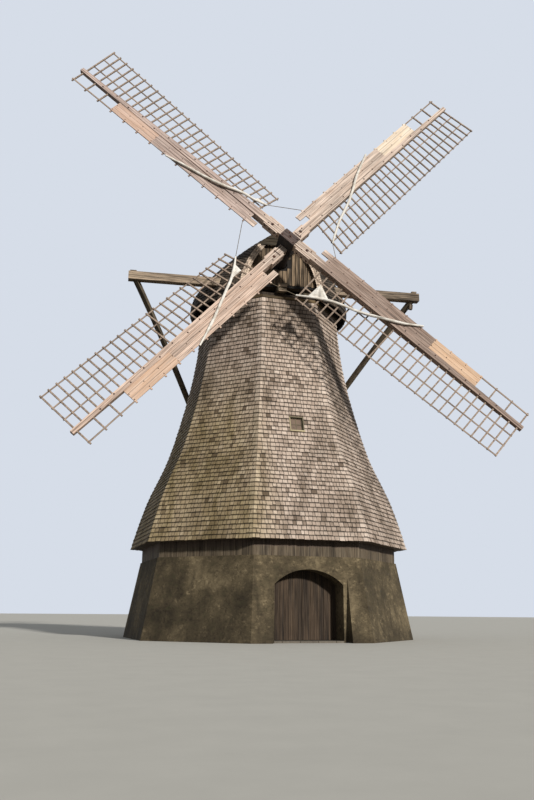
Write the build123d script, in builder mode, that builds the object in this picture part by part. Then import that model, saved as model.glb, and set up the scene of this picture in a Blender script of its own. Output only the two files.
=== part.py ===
"""Smock windmill: masonry base, shingled octagonal smock, turning cap and four lattice sails.

Millimetres, Z up, origin on the mill's axis at ground level, door in the -Y face.
The cap and the sails are drawn facing -Y and then turned by cap_yaw about the mill's axis.
"""

from build123d import *
from math import atan2, cos, radians, sin, sqrt, tan
import os

os.makedirs("parts", exist_ok=True)

# Octagon
sides = 8
half_face = 180 / sides

# Masonry base: corner radii outside, flat-to-centre distance inside
base_height = 2750
base_foot_radius = 5450
base_top_radius = 4900
base_inner_apothem = 3850
floor_thickness = 60

# Doorway, its outer recess and the rebate that the leaves shut into
door_opening = 2400
lintel_height = 430
arch_rise = 490
door_crown = base_height - lintel_height
door_springing = door_crown - arch_rise
recess_width = 2700
recess_depth = 380
rebate_width = 2580
rebate_over_crown = 100
rebate_height = door_crown + rebate_over_crown
rebate_depth = 110
leaf_seam = 10
leaf_edge_room = 50
leaf_thickness = 40
leaf_clearance = 12
ledge_thickness = 25
ledge_height = 140
ledge_end = 60
strap_thickness = 8
strap_height = 60
strap_length = 950
strap_level = 420
pin_radius = 8
pin_length = 110
eye_radius = 16
pin_clearance = 0.4
seat_gap = 0.3

# Timber sill under the smock
sill_radius = 4850
sill_width = 300
sill_height = 300

# Smock: outer corner radius at levels from the skirt's edge to the top
smock_levels = [3270, 4400, 5150, 6450, 7950, 9950, 12600]
smock_radii = [5300, 4960, 4690, 4090, 3590, 3090, 2780]
smock_wall = 140
smock_foot_apothem = 4260

# Upper floor inside the smock, and the small windows above it
upper_floor_level = 6100
upper_floor_thickness = 60
window_level = 7475
window_width = 500
window_height = 560
window_setback = 50
window_frame_width = 45
window_frame_depth = 70
pane_thickness = 4

# Curb on top of the smock and the cap's ring that slides on it
curb_radius = 2800
curb_height = 160
curb_bore = 2350
cap_ring_radius = 2540
cap_ring_height = 25

# Cap: round in plan, cut off by gables in front and behind
cap_yaw = -7.17
cap_radius = 3200
cap_base = 12850
cap_front = 2750
cap_rear = 2700
cap_shell = 110
cap_eave = 30
gable_face = 2625
front_stations = [cap_front, gable_face, 2350, 2000, 1550, 1000, 400]
rear_stations = [-300, -1000, -1600, -2100, -2450, -cap_rear]
cap_stations = front_stations + rear_stations
ridge_stations = [cap_front, 2250, 1200, 0, -1200, -2000, -cap_rear]
ridge_levels = [15240, 15210, 15010, 14840, 14560, 14280, 13900]
cap_roundness = 1.7
arch_step = 15
gable_boards = 45
gable_fit = 3
gable_sill = 13020
skirt_radius = 3220
skirt_drop = 260
skirt_tuck = 70
skirt_boards = 40
verge_width = 240
verge_thickness = 35

# Cap frame
sheer_width = 330
sheer_height = 315
sheer_offset = 1100
side_sheer_front = 2430
centre_sheer_front = 2900
centre_sheer_rear = 2890
weather_beam_y = -2370
weather_beam_width = 300
weather_beam_reach = 1350
weather_beam_top = 13790
tail_beam_y = 1250
tail_beam_width = 300
tail_beam_reach = 1900
tail_beam_height = 320
long_spruit_y = -2010
long_spruit_reach = 5780
long_spruit_size = 300
long_spruit_height = 320
short_spruit_y = 2000
short_spruit_reach = 2950
short_spruit_size = 260
spruit_room = 10

# Tail pole and braces
pole_size = 260
pole_foot_y = 8600
pole_foot_level = 950
pole_head_y = 2850
brace_bite = 40
brace_spread = 65
long_brace_size = 170
long_brace_inset = 285
long_brace_bow = -250
long_brace_foot = 0.75
short_brace_size = 140
short_brace_inset = 150
short_brace_foot = 0.50
short_brace_bow = 60

# Windshaft and hub
hub_level = 14260
hub_reach = 3918
shaft_opening_room = 35
shaft_tilt = 11.016
shaft_radius = 215
shaft_tail_radius = 180
shaft_tail_y = 1000
gudgeon_radius = 50
gudgeon_length = 420
bearing_clearance = 0.5
head_width = 430
head_height = 660
head_length = 780
nose_width = 400
nose_height = 640
nose_thickness = 20
nose_bore = 60

# Sails
arm_angle = 47.78
sail_radius = 10800
stock_spacing = 411
stock_root = 320
stock_tip = 160
stock_tip_rise = 30
stock_straight = 1120
clamp_start = 450
clamp_thickness = 60
clamp_depth = 300
bar_count = 27
bar_first = 1714
bar_pitch = 343.2
bar_width = 55
bar_depth = 45
bar_plane = 40
lattice_width = 1585
bar_overrun = 35
lath_count = 3
lath_width = 45
lath_depth = 28
lath_bite = 7
weather_inner = 18.4
weather_outer = -2.9
board_edge = 626
board_step = 385
board_thickness = 40
inner_board_start = 1600
outer_board_start = 1250
new_board_start = 6500
board_end = 8620
rail_width = 50
rail_depth = 28
stub_overrun = 60

# Furled sailcloth and its ropes
roll_radius = 48
roll_clearance = 7.6
roll_bend = 300
roll_sides = 8
roll_on_stock = 250
rope_radius = 13
roll_paths = [
    [(5880, 690), (4850, 320), (4540, 185), (3780, -185), (3090, -450), (2400, -630), (1640, -1040)],
    [(5650, 690), (4600, 430), (4000, 310), (3350, 185), (2540, -185), (1950, -470), (1640, -690)],
    [(5580, 680), (4500, 330), (4170, 185), (3230, -185), (2350, -580), (1640, -1080)],
    [(5850, 680), (5480, 400), (5280, 185), (4660, -185), (3800, -520), (3000, -730), (2350, -1010), (1640, -1440)],
]


def apothem(corner_radius):
    """Distance from the centre to a flat side of an octagon with this corner radius."""
    return corner_radius * cos(radians(half_face))


def between(position, positions, values):
    """Value at a position, straight between the two listed positions beside it."""
    for low, high, first, last in zip(positions, positions[1:], values, values[1:]):
        if min(low, high) <= position <= max(low, high):
            return first + (last - first) * (position - low) / (high - low)
    raise ValueError("position outside the list")


def save(name, builder, place=Location()):
    """Put a finished piece in its place and write it under its name."""
    builder.part.label = name
    export_step(builder.part.moved(place), f"parts/{name}.step")


def mitre_to_corners():
    """Cut the wall that is being built to the two corners of the -Y face."""
    for side in (-1, 1):
        normal = (-side * cos(radians(half_face)), -sin(radians(half_face)), 0)
        split(bisect_by=Plane(origin=(0, 0, 0), z_dir=normal), keep=Keep.TOP)


def turned(angles):
    """Places of copies turned about the mill's axis."""
    return [Rot(0, 0, angle) for angle in angles]


side_angles = [90, 180, 270]
diagonal_angles = [45, 135, 225, 315]

# Masonry base
base_foot_apothem = apothem(base_foot_radius)
base_top_apothem = apothem(base_top_radius)
face_reach = base_foot_radius

with BuildPart() as base_wall:
    with BuildSketch(Plane.YZ):
        with BuildLine():
            Polyline(
                (-base_foot_apothem, 0),
                (-base_top_apothem, base_height),
                (-base_inner_apothem, base_height),
                (-base_inner_apothem, 0),
                close=True,
            )
        make_face()
    extrude(amount=face_reach, both=True)
    mitre_to_corners()

for name, angles in (("base_walls_side", side_angles), ("base_walls_diagonal", diagonal_angles)):
    with BuildPart() as walls:
        with Locations(turned(angles)):
            add(base_wall.part)
    save(name, walls)

recess_apothem = base_foot_apothem - recess_depth
rebate_apothem = base_inner_apothem + rebate_depth
with BuildPart() as door_wall:
    add(base_wall.part)
    with BuildSketch(Plane.XZ):
        with BuildLine():
            Line((door_opening / 2, 0), (door_opening / 2, door_springing))
            ThreePointArc(
                (door_opening / 2, door_springing),
                (0, door_crown),
                (-door_opening / 2, door_springing),
            )
            Polyline(
                (-door_opening / 2, door_springing),
                (-door_opening / 2, 0),
                (door_opening / 2, 0),
            )
        make_face()
    extrude(amount=base_foot_radius, mode=Mode.SUBTRACT)
    with BuildSketch(Plane.XZ.offset(recess_apothem)):
        Rectangle(recess_width, base_height, align=(Align.CENTER, Align.MIN))
    extrude(amount=base_foot_radius - recess_apothem, mode=Mode.SUBTRACT)
    with BuildSketch(Plane.XZ.offset(base_inner_apothem)):
        Rectangle(rebate_width, rebate_height, align=(Align.CENTER, Align.MIN))
    extrude(amount=rebate_depth, mode=Mode.SUBTRACT)

for name, side, kept in (("door_wall_left", -1, Keep.BOTTOM), ("door_wall_right", 1, Keep.TOP)):
    with BuildPart() as jamb:
        add(door_wall.part)
        split(bisect_by=Plane.YZ.offset(side * door_opening / 2), keep=kept)
    save(name, jamb)

with BuildPart() as door_wall_over:
    add(door_wall.part)
    split(bisect_by=Plane.YZ.offset(door_opening / 2), keep=Keep.BOTTOM)
    split(bisect_by=Plane.YZ.offset(-door_opening / 2), keep=Keep.TOP)
save("door_wall_over", door_wall_over)

with BuildPart() as ground_floor:
    with BuildSketch(Plane.XY):
        RegularPolygon(base_inner_apothem, sides, major_radius=False, rotation=half_face)
    extrude(amount=floor_thickness)
    with BuildSketch(Plane.XY):
        with Locations((0, -base_inner_apothem)):
            Rectangle(rebate_width, rebate_depth, align=(Align.CENTER, Align.MAX))
        with Locations((0, -rebate_apothem)):
            Rectangle(door_opening, recess_apothem - rebate_apothem, align=(Align.CENTER, Align.MAX))
    extrude(amount=floor_thickness)
save("ground_floor", ground_floor)

# Door leaves, hung on pins in the rebate and opening inward
leaf_width = rebate_width / 2 - leaf_edge_room - leaf_seam / 2
leaf_bottom = floor_thickness + leaf_clearance
leaf_height = rebate_height - leaf_clearance - leaf_bottom
leaf_front = rebate_apothem - leaf_clearance
ledge_front = leaf_front - leaf_thickness
strap_front = ledge_front - ledge_thickness
pin_x = rebate_width / 2 - leaf_edge_room / 2
pin_y = -(strap_front - eye_radius)
strap_heights = [leaf_bottom + strap_level, leaf_bottom + leaf_height - strap_level]

for name, side in (("door_leaf_left", -1), ("door_leaf_right", 1)):
    near = side * leaf_seam / 2
    far = near + side * leaf_width
    middle = (near + far) / 2
    with BuildPart() as leaf:
        with BuildSketch(Plane.XZ.offset(ledge_front)):
            with Locations((middle, leaf_bottom)):
                Rectangle(leaf_width, leaf_height, align=(Align.CENTER, Align.MIN))
        extrude(amount=leaf_thickness)
        with BuildSketch(Plane.XZ.offset(strap_front)):
            with Locations([(middle, height) for height in strap_heights]):
                Rectangle(leaf_width - 2 * ledge_end, ledge_height)
        extrude(amount=ledge_thickness)
        with BuildSketch(Plane.XZ.offset(strap_front)):
            low, high = strap_heights
            low_end = (near + side * 2 * ledge_end, high - ledge_height / 2)
            high_end = (far - side * 2 * ledge_end, low + ledge_height / 2)
            with BuildLine():
                Polyline(
                    low_end,
                    (low_end[0] + side * ledge_height, low_end[1]),
                    high_end,
                    (high_end[0] - side * ledge_height, high_end[1]),
                    close=True,
                )
            make_face()
        extrude(amount=ledge_thickness)
    save(name, leaf)

for name, side, hinge_end in (("door_straps_left", -1, Align.MIN), ("door_straps_right", 1, Align.MAX)):
    with BuildPart() as straps:
        with BuildSketch(Plane.XZ.offset(strap_front - strap_thickness)):
            with Locations([(side * pin_x, height) for height in strap_heights]):
                Rectangle(strap_length, strap_height, align=(hinge_end, Align.CENTER))
        extrude(amount=strap_thickness)
        for height in strap_heights:
            with BuildSketch(Plane.XY.offset(height - strap_height / 2)):
                with Locations((side * pin_x, pin_y)):
                    Circle(eye_radius)
            extrude(amount=strap_height)
        for height in strap_heights:
            with BuildSketch(Plane.XY.offset(height - strap_height / 2)):
                with Locations((side * pin_x, pin_y)):
                    Circle(pin_radius + pin_clearance)
            extrude(amount=strap_height, mode=Mode.SUBTRACT)
    save(name, straps)

with BuildPart() as door_pintles:
    for side in (-1, 1):
        for height in strap_heights:
            arm_top = height - strap_height / 2 - seat_gap
            with BuildSketch(Plane.XY.offset(arm_top - 2 * pin_radius)):
                with Locations((side * (pin_x - eye_radius), pin_y)):
                    Rectangle(
                        rebate_width / 2 - pin_x + eye_radius,
                        2 * eye_radius,
                        align=(Align.MIN if side > 0 else Align.MAX, Align.CENTER),
                    )
            extrude(amount=2 * pin_radius)
            with BuildSketch(Plane.XY.offset(arm_top)):
                with Locations((side * pin_x, pin_y)):
                    Circle(pin_radius)
            extrude(amount=pin_length - 2 * pin_radius)
save("door_pintles", door_pintles)

# Timber sill ring on the masonry
sill_apothem = apothem(sill_radius)
sill_inside = sill_apothem - sill_width
with BuildPart() as sill_beams:
    with BuildSketch(Plane.XY.offset(base_height)):
        RegularPolygon(sill_radius, sides, rotation=half_face)
        RegularPolygon(sill_inside, sides, major_radius=False, rotation=half_face, mode=Mode.SUBTRACT)
    extrude(amount=sill_height)
save("sill_beams", sill_beams)

# Smock walls
sill_top = base_height + sill_height
smock_top = smock_levels[-1]
smock_outside = [apothem(radius) for radius in smock_radii]
smock_inner_levels = [sill_top] + smock_levels[2:]
smock_inside = [smock_foot_apothem] + [outside - smock_wall for outside in smock_outside[2:]]

with BuildPart() as smock_wall_blank:
    with BuildSketch(Plane.YZ):
        with BuildLine():
            Spline([(-outside, level) for outside, level in zip(smock_outside, smock_levels)])
            Polyline(
                [(-smock_outside[-1], smock_top)]
                + [(-inside, level) for inside, level in zip(smock_inside[::-1], smock_inner_levels[::-1])]
                + [
                    (-sill_apothem, sill_top),
                    (-sill_apothem, smock_levels[0]),
                    (-smock_outside[0], smock_levels[0]),
                ]
            )
        make_face()
    extrude(amount=smock_radii[0], both=True)
    mitre_to_corners()

for name, angles in (("smock_walls_side", [90, 270]), ("smock_walls_diagonal", diagonal_angles)):
    with BuildPart() as walls:
        with Locations(turned(angles)):
            add(smock_wall_blank.part)
    save(name, walls)

window_apothem = between(window_level, smock_levels, smock_outside)
window_foot = between(window_level - window_height / 2, smock_levels, smock_outside)
window_head = between(window_level + window_height / 2, smock_levels, smock_outside)
window_lean = atan2(window_foot - window_head, window_height)
window_plane = Plane(
    origin=(0, -window_apothem, window_level),
    x_dir=(1, 0, 0),
    z_dir=(0, -cos(window_lean), sin(window_lean)),
)
window_reach = 3 * smock_wall

with BuildPart() as smock_window_wall:
    add(smock_wall_blank.part)
    with BuildSketch(window_plane):
        Rectangle(window_width, window_height)
    extrude(amount=window_reach, both=True, mode=Mode.SUBTRACT)

for name, angle in (("smock_wall_front", 0), ("smock_wall_back", 180)):
    with BuildPart() as wall:
        with Locations(turned([angle])):
            add(smock_window_wall.part)
    save(name, wall)

pane_width = window_width - 2 * window_frame_width
pane_height = window_height - 2 * window_frame_width
with BuildPart() as window_frame:
    with BuildSketch(window_plane.offset(-window_setback)):
        Rectangle(window_width, window_height)
        Rectangle(pane_width, pane_height, mode=Mode.SUBTRACT)
    extrude(amount=-window_frame_depth)

with BuildPart() as window_pane:
    with BuildSketch(window_plane.offset(-window_setback - window_frame_depth / 2)):
        Rectangle(pane_width, pane_height)
    extrude(amount=pane_thickness)

for name, model in (("window_frames", window_frame), ("window_panes", window_pane)):
    with BuildPart() as pair:
        with Locations(turned([0, 180])):
            add(model.part)
    save(name, pair)

upper_floor_bottom = upper_floor_level - upper_floor_thickness
with BuildPart() as upper_floor:
    for level in (upper_floor_bottom, upper_floor_level):
        with BuildSketch(Plane.XY.offset(level)):
            floor_apothem = between(level, smock_inner_levels, smock_inside)
            RegularPolygon(floor_apothem, sides, major_radius=False, rotation=half_face)
    loft(ruled=True)
save("upper_floor", upper_floor)

# Curb
curb_top = smock_top + curb_height
with BuildPart() as curb_ring:
    with BuildSketch(Plane.XY.offset(smock_top)):
        RegularPolygon(curb_radius, sides, rotation=half_face)
        Circle(curb_bore, mode=Mode.SUBTRACT)
    extrude(amount=curb_height)
save("curb_ring", curb_ring)

# Cap
cap_place = Rot(0, 0, cap_yaw)
frame_bottom = curb_top + cap_ring_height
frame_top = frame_bottom + sheer_height

with BuildPart() as cap_ring:
    with BuildSketch(Plane.XY.offset(curb_top + seat_gap)):
        Circle(cap_ring_radius)
        Circle(curb_bore, mode=Mode.SUBTRACT)
    extrude(amount=cap_ring_height - seat_gap)
save("cap_ring", cap_ring, cap_place)


def cap_arch(station, shrink):
    """Half of the cap's cross-section, eave to ridge, at a distance in front of the mill's axis."""
    width = sqrt(cap_radius**2 - station**2) - shrink
    rise = between(station, ridge_stations, ridge_levels) - cap_base - shrink
    power = 2 / cap_roundness
    points = [
        (width * cos(radians(angle)) ** power, cap_base + rise * sin(radians(angle)) ** power)
        for angle in range(0, 90, arch_step)
    ]
    return points + [(0, cap_base + rise)]


def cap_half(shrink, drop, overrun):
    """Right half of the boat-shaped cap, drawn in by a shell and run down below its base."""
    with BuildPart() as body:
        for station in cap_stations:
            arch = cap_arch(station, shrink)
            with BuildSketch(Plane.XZ.offset(station)):
                with BuildLine():
                    Spline(arch, tangents=[(0, 1), (-1, 0)])
                    Polyline(
                        arch[-1],
                        (0, cap_base - drop),
                        (arch[0][0], cap_base - drop),
                        arch[0],
                    )
                make_face()
        loft(ruled=True)
        if overrun:
            ends = body.faces().filter_by(Axis.Y).sort_by(Axis.Y)
            extrude(ends[0], amount=overrun)
            extrude(ends[-1], amount=overrun)
    return body.part


cap_body = cap_half(0, cap_eave, 0)
cap_hollow = cap_half(cap_shell, cap_shell, cap_shell)

# Beams of the cap's frame
with BuildPart() as cap_sheers:
    with BuildSketch(Plane.XY.offset(frame_bottom)):
        with Locations((-sheer_offset, -side_sheer_front), (sheer_offset, -side_sheer_front)):
            Rectangle(sheer_width, side_sheer_front + cap_rear, align=(Align.CENTER, Align.MIN))
        with Locations((0, -centre_sheer_front)):
            Rectangle(sheer_width, centre_sheer_front + centre_sheer_rear, align=(Align.CENTER, Align.MIN))
    extrude(amount=sheer_height)
save("cap_sheers", cap_sheers, cap_place)

# Windshaft line
shaft_cos = cos(radians(shaft_tilt))
shaft_sin = sin(radians(shaft_tilt))
rotor_plane = Plane(origin=(0, -hub_reach, hub_level), x_dir=(1, 0, 0), z_dir=(0, -shaft_cos, shaft_sin))
head_back = head_length / 2
shaft_tail = (hub_reach + shaft_tail_y) / shaft_cos
gudgeon_end = shaft_tail + gudgeon_length

with BuildPart() as windshaft:
    with BuildSketch(rotor_plane.offset(-head_back)):
        Circle(shaft_radius)
    with BuildSketch(rotor_plane.offset(-hub_reach / shaft_cos)):
        Circle(shaft_radius)
    with BuildSketch(rotor_plane.offset(-shaft_tail)):
        Circle(shaft_tail_radius)
    loft(ruled=True)
    with BuildSketch(rotor_plane.offset(-shaft_tail)):
        Circle(gudgeon_radius)
    extrude(amount=-gudgeon_length)
save("windshaft", windshaft, cap_place)

with BuildPart() as shaft_room:
    with BuildSketch(rotor_plane):
        Circle(shaft_radius + bearing_clearance)
    extrude(amount=-hub_reach / shaft_cos)
    with BuildSketch(rotor_plane):
        Circle(gudgeon_radius + bearing_clearance)
    extrude(amount=-gudgeon_end - bearing_clearance)

with BuildPart() as cap_cross_beams:
    with BuildSketch(Plane.XY.offset(frame_top)):
        with Locations((0, weather_beam_y)):
            Rectangle(2 * weather_beam_reach, weather_beam_width)
    extrude(amount=weather_beam_top - frame_top)
    with BuildSketch(Plane.XY.offset(frame_top)):
        with Locations((0, tail_beam_y)):
            Rectangle(2 * tail_beam_reach, tail_beam_width)
    extrude(amount=tail_beam_height)
    add(shaft_room.part, mode=Mode.SUBTRACT)
save("cap_cross_beams", cap_cross_beams, cap_place)

with BuildPart() as long_spruit:
    with BuildSketch(Plane.XY.offset(frame_top)):
        with Locations((0, long_spruit_y)):
            Rectangle(2 * long_spruit_reach, long_spruit_size)
    extrude(amount=long_spruit_height)

with BuildPart() as short_spruit:
    with BuildSketch(Plane.XY.offset(frame_top)):
        with Locations((0, short_spruit_y)):
            Rectangle(2 * short_spruit_reach, short_spruit_size)
    extrude(amount=short_spruit_size)

# Roof shell, halved along the ridge, with the spruits let through it
with BuildPart() as roof_right:
    add(cap_body)
    add(cap_hollow, mode=Mode.SUBTRACT)
    for y, width, height in (
        (long_spruit_y, long_spruit_size, long_spruit_height),
        (short_spruit_y, short_spruit_size, short_spruit_size),
    ):
        with BuildSketch(Plane.XY.offset(frame_top - spruit_room)):
            with Locations((0, y)):
                Rectangle(2 * cap_radius, width + 2 * spruit_room)
        extrude(amount=height + 2 * spruit_room, mode=Mode.SUBTRACT)

with BuildPart() as roof_left:
    add(roof_right.part)
    mirror(about=Plane.YZ, mode=Mode.REPLACE)

save("roof_right", roof_right, cap_place)
save("roof_left", roof_left, cap_place)
save("long_spruit", long_spruit, cap_place)
save("short_spruit", short_spruit, cap_place)

# Gables: boards that fill the hollow of the roof behind its front edge and flush with its rear one
front_gable_arch = cap_arch(gable_face, cap_shell + gable_fit)
with BuildPart() as front_gable:
    with BuildSketch(Plane.XZ.offset(gable_face)):
        with BuildLine():
            Spline(front_gable_arch, tangents=[(0, 1), (-1, 0)])
            Polyline(front_gable_arch[-1], (0, cap_base), front_gable_arch[0])
        make_face()
        mirror(about=Plane.YZ)
    extrude(amount=-gable_boards)
    split(bisect_by=Plane.XY.offset(gable_sill), keep=Keep.TOP)
    add(cap_sheers.part, mode=Mode.SUBTRACT)
    with BuildSketch(rotor_plane):
        Circle(shaft_radius + shaft_opening_room)
    extrude(amount=-hub_reach / shaft_cos, mode=Mode.SUBTRACT)
save("front_gable", front_gable, cap_place)

rear_gable_arch = cap_arch(-cap_rear, cap_shell)
with BuildPart() as rear_gable:
    with BuildSketch(Plane.XZ.offset(-cap_rear)):
        with BuildLine():
            Spline(rear_gable_arch, tangents=[(0, 1), (-1, 0)])
            Polyline(rear_gable_arch[-1], (0, cap_base), rear_gable_arch[0])
        make_face()
        mirror(about=Plane.YZ)
    extrude(amount=gable_boards)
    split(bisect_by=Plane.XY.offset(frame_top), keep=Keep.TOP)
save("rear_gable", rear_gable, cap_place)

# Pale verge along the front edge of the roof
with BuildPart() as front_verge:
    outer_arch = cap_arch(cap_front, 0)
    inner_arch = cap_arch(cap_front, verge_width)
    with BuildSketch(Plane.XZ.offset(cap_front)):
        with BuildLine():
            Spline(outer_arch, tangents=[(0, 1), (-1, 0)])
            Line(outer_arch[-1], inner_arch[-1])
            Spline(inner_arch[::-1], tangents=[(1, 0), (0, -1)])
            Line(inner_arch[0], outer_arch[0])
        make_face()
        mirror(about=Plane.YZ)
    extrude(amount=verge_thickness)
save("front_verge", front_verge, cap_place)

# Skirt round the foot of the cap, open below the front gable
skirt_top = cap_base - cap_eave
with BuildPart() as cap_skirt:
    with BuildSketch(Plane.XZ):
        with BuildLine():
            Polyline((skirt_radius - skirt_boards, skirt_top), (skirt_radius, skirt_top))
            ThreePointArc(
                (skirt_radius, skirt_top),
                (skirt_radius - skirt_tuck / 4, skirt_top - skirt_drop / 2),
                (skirt_radius - skirt_tuck, skirt_top - skirt_drop),
            )
            Line(
                (skirt_radius - skirt_tuck, skirt_top - skirt_drop),
                (skirt_radius - skirt_tuck - skirt_boards, skirt_top - skirt_drop),
            )
            Line(
                (skirt_radius - skirt_tuck - skirt_boards, skirt_top - skirt_drop),
                (skirt_radius - skirt_boards, skirt_top),
            )
        make_face()
    revolve(axis=Axis.Z)
    split(bisect_by=Plane.XZ.offset(gable_face), keep=Keep.BOTTOM)
    split(bisect_by=Plane.XZ.offset(-cap_rear), keep=Keep.TOP)
save("cap_skirt", cap_skirt, cap_place)

# Tail pole
pole_head = Vector(0, pole_head_y, frame_bottom + pole_size)
pole_foot = Vector(0, pole_foot_y, pole_foot_level)
pole_run = pole_foot - pole_head


def square_beam(start, end, size):
    """Square timber between two points, with its sides upright."""
    plane = Plane(origin=start, x_dir=Vector(0, 0, 1).cross(end - start), z_dir=end - start)
    with BuildPart() as timber:
        with BuildSketch(plane):
            Rectangle(size, size)
        extrude(amount=(end - start).length)
    return timber.part


with BuildPart() as tail_pole:
    add(square_beam(pole_head, pole_foot, pole_size))
    add(cap_sheers.part, mode=Mode.SUBTRACT)
save("tail_pole", tail_pole, cap_place)


# Braces from the spruits down to the tail pole
def brace(top, foot, bow, size):
    """Crooked square timber between two points, bowed sideways in the middle."""
    middle = (top + foot) * 0.5 + Vector(bow, 0, 0)
    with BuildPart() as timber:
        with BuildLine() as brace_line:
            ThreePointArc(top, middle, foot)
        start = brace_line.line % 0
        with BuildSketch(Plane(origin=top, x_dir=Vector(0, 0, 1).cross(start), z_dir=start)):
            Rectangle(size, size)
        sweep(path=brace_line.line)
    return timber.part


def brace_pair(spruit, reach, y, size, bow, foot_share):
    """Braces from both ends of a spruit to the tail pole, a share of the way down it."""
    timbers = []
    for side in (-1, 1):
        top = Vector(side * reach, y, frame_top + brace_bite)
        foot = pole_head + pole_run * foot_share + Vector(side * brace_spread, 0, 0)
        timbers.append(brace(top, foot, side * bow, size))
    with BuildPart() as pair:
        add(timbers)
        add(spruit.part, mode=Mode.SUBTRACT)
        add(tail_pole.part, mode=Mode.SUBTRACT)
    return pair


long_brace_reach = long_spruit_reach - long_brace_inset
long_braces = brace_pair(
    long_spruit, long_brace_reach, long_spruit_y, long_brace_size, long_brace_bow, long_brace_foot
)
save("long_braces", long_braces, cap_place)

short_brace_reach = short_spruit_reach - short_brace_inset
short_braces = brace_pair(
    short_spruit, short_brace_reach, short_spruit_y, short_brace_size, short_brace_bow, short_brace_foot
)
save("short_braces", short_braces, cap_place)

# Stocks: straight through the head, tapered to the tips, with a flatter face in front
tip_front = stock_tip_rise + stock_tip / 2
tip_back = stock_tip_rise - stock_tip / 2
with BuildPart() as stock:
    with BuildSketch(Plane.XY):
        with BuildLine():
            Polyline(
                (0, stock_root / 2),
                (stock_straight, stock_root / 2),
                (sail_radius, stock_tip / 2),
                (sail_radius, -stock_tip / 2),
                (stock_straight, -stock_root / 2),
                (0, -stock_root / 2),
                close=True,
            )
        make_face()
        mirror(about=Plane.YZ)
    extrude(amount=stock_root, both=True)
    with BuildSketch(Plane.XZ):
        with BuildLine():
            Polyline(
                (0, stock_root / 2),
                (stock_straight, stock_root / 2),
                (sail_radius, tip_front),
                (sail_radius, tip_back),
                (stock_straight, -stock_root / 2),
                (0, -stock_root / 2),
                close=True,
            )
        make_face()
        mirror(about=Plane.YZ)
    extrude(amount=stock_root, both=True, mode=Mode.INTERSECT)

rotor_place = cap_place * rotor_plane.location


def arm_place(arm):
    """Place of an arm in the hub's frame: odd arms on the front stock, even ones on the rear."""
    height = stock_spacing / 2 * (1 if arm % 2 else -1)
    return Rot(0, 0, arm_angle + 90 * arm) * Pos(0, 0, height)


for name, arm in (("rear_stock", 0), ("front_stock", 1)):
    with BuildPart() as placed_stock:
        with Locations(arm_place(arm)):
            add(stock.part)
    save(name, placed_stock, rotor_place)

# Hub head with a mortise for each stock, and the block on its nose
with BuildPart(Plane.XY.rotated((0, 0, arm_angle))) as shaft_head:
    Box(head_width, head_height, head_length)
    with Locations((0, 0, -stock_spacing / 2)):
        Box(head_width, stock_root, stock_root, mode=Mode.SUBTRACT)
    with Locations((0, 0, stock_spacing / 2)):
        Box(stock_root, head_height, stock_root, mode=Mode.SUBTRACT)
save("shaft_head", shaft_head, rotor_place)

with BuildPart(Plane.XY.rotated((0, 0, arm_angle))) as nose_block:
    with Locations((0, 0, head_back)):
        Box(nose_width, nose_height, nose_thickness, align=(Align.CENTER, Align.CENTER, Align.MIN))
    with Locations((0, 0, head_back + nose_thickness)):
        Hole(nose_bore, depth=nose_thickness)
save("nose_block", nose_block, rotor_place)

with BuildPart() as stock_clamps:
    for arm in range(4):
        with Locations(arm_place(arm) * Pos(clamp_start, 0, 0)):
            for side in (-1, 1):
                with Locations((0, side * (stock_root + clamp_thickness) / 2, 0)):
                    Box(
                        stock_straight - clamp_start,
                        clamp_thickness,
                        clamp_depth,
                        align=(Align.MIN, Align.CENTER, Align.CENTER),
                    )
save("stock_clamps", stock_clamps, rotor_place)


# Lattice
def weather(distance):
    """Angle of a sail bar to the plane of the sails, flattening toward the tip."""
    share = (distance - bar_first) / (bar_pitch * (bar_count - 1))
    return radians(weather_inner + (weather_outer - weather_inner) * share)


def stock_half(distance):
    """Half the width of a stock at a distance from the hub."""
    share = max(0, (distance - stock_straight) / (sail_radius - stock_straight))
    return (stock_root + (stock_tip - stock_root) * share) / 2


bar_places = [bar_first + bar_pitch * number for number in range(bar_count)]
lath_stations = [bar_places[0] - lath_width] + bar_places[4:-4:6] + [bar_places[-1] + lath_width]

lath_lean = radians((weather_inner + weather_outer) / 2)
lath_across = (0, -cos(lath_lean), -sin(lath_lean))

with BuildPart() as lattice:
    for distance in bar_places:
        angle = weather(distance)
        across = (0, -cos(angle), -sin(angle))
        bar_section = Plane(origin=(distance, 0, bar_plane), x_dir=(1, 0, 0), z_dir=across)
        with BuildSketch(bar_section.offset(stock_half(distance) / 2)):
            Rectangle(bar_width, bar_depth)
        extrude(amount=lattice_width + bar_overrun - stock_half(distance) / 2)
    for number in range(1, lath_count + 1):
        lath_place = lattice_width * number / lath_count - lath_width / 2
        behind = (bar_depth + lath_depth) / 2 - lath_bite
        for distance in lath_stations:
            angle = weather(distance)
            lath_centre = (
                distance,
                -lath_place * cos(angle) + behind * sin(angle),
                bar_plane - lath_place * sin(angle) - behind * cos(angle),
            )
            with BuildSketch(Plane(origin=lath_centre, x_dir=lath_across, z_dir=(1, 0, 0))):
                Rectangle(lath_width, lath_depth)
        loft(ruled=True)
    add(stock.part, mode=Mode.SUBTRACT)

arm_names = ["upper_right", "upper_left", "lower_left", "lower_right"]
for arm, name in enumerate(arm_names):
    save(f"lattice_{name}", lattice, rotor_place * arm_place(arm))

# Boards and open frames on the leading side
board_back = bar_plane + bar_depth / 2
board_front = board_back + board_thickness
stub_places = bar_places[::2]
board_runs = {
    "windboards": (inner_board_start, outer_board_start, new_board_start),
    "windboards_new": (new_board_start, new_board_start, board_end),
}

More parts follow.
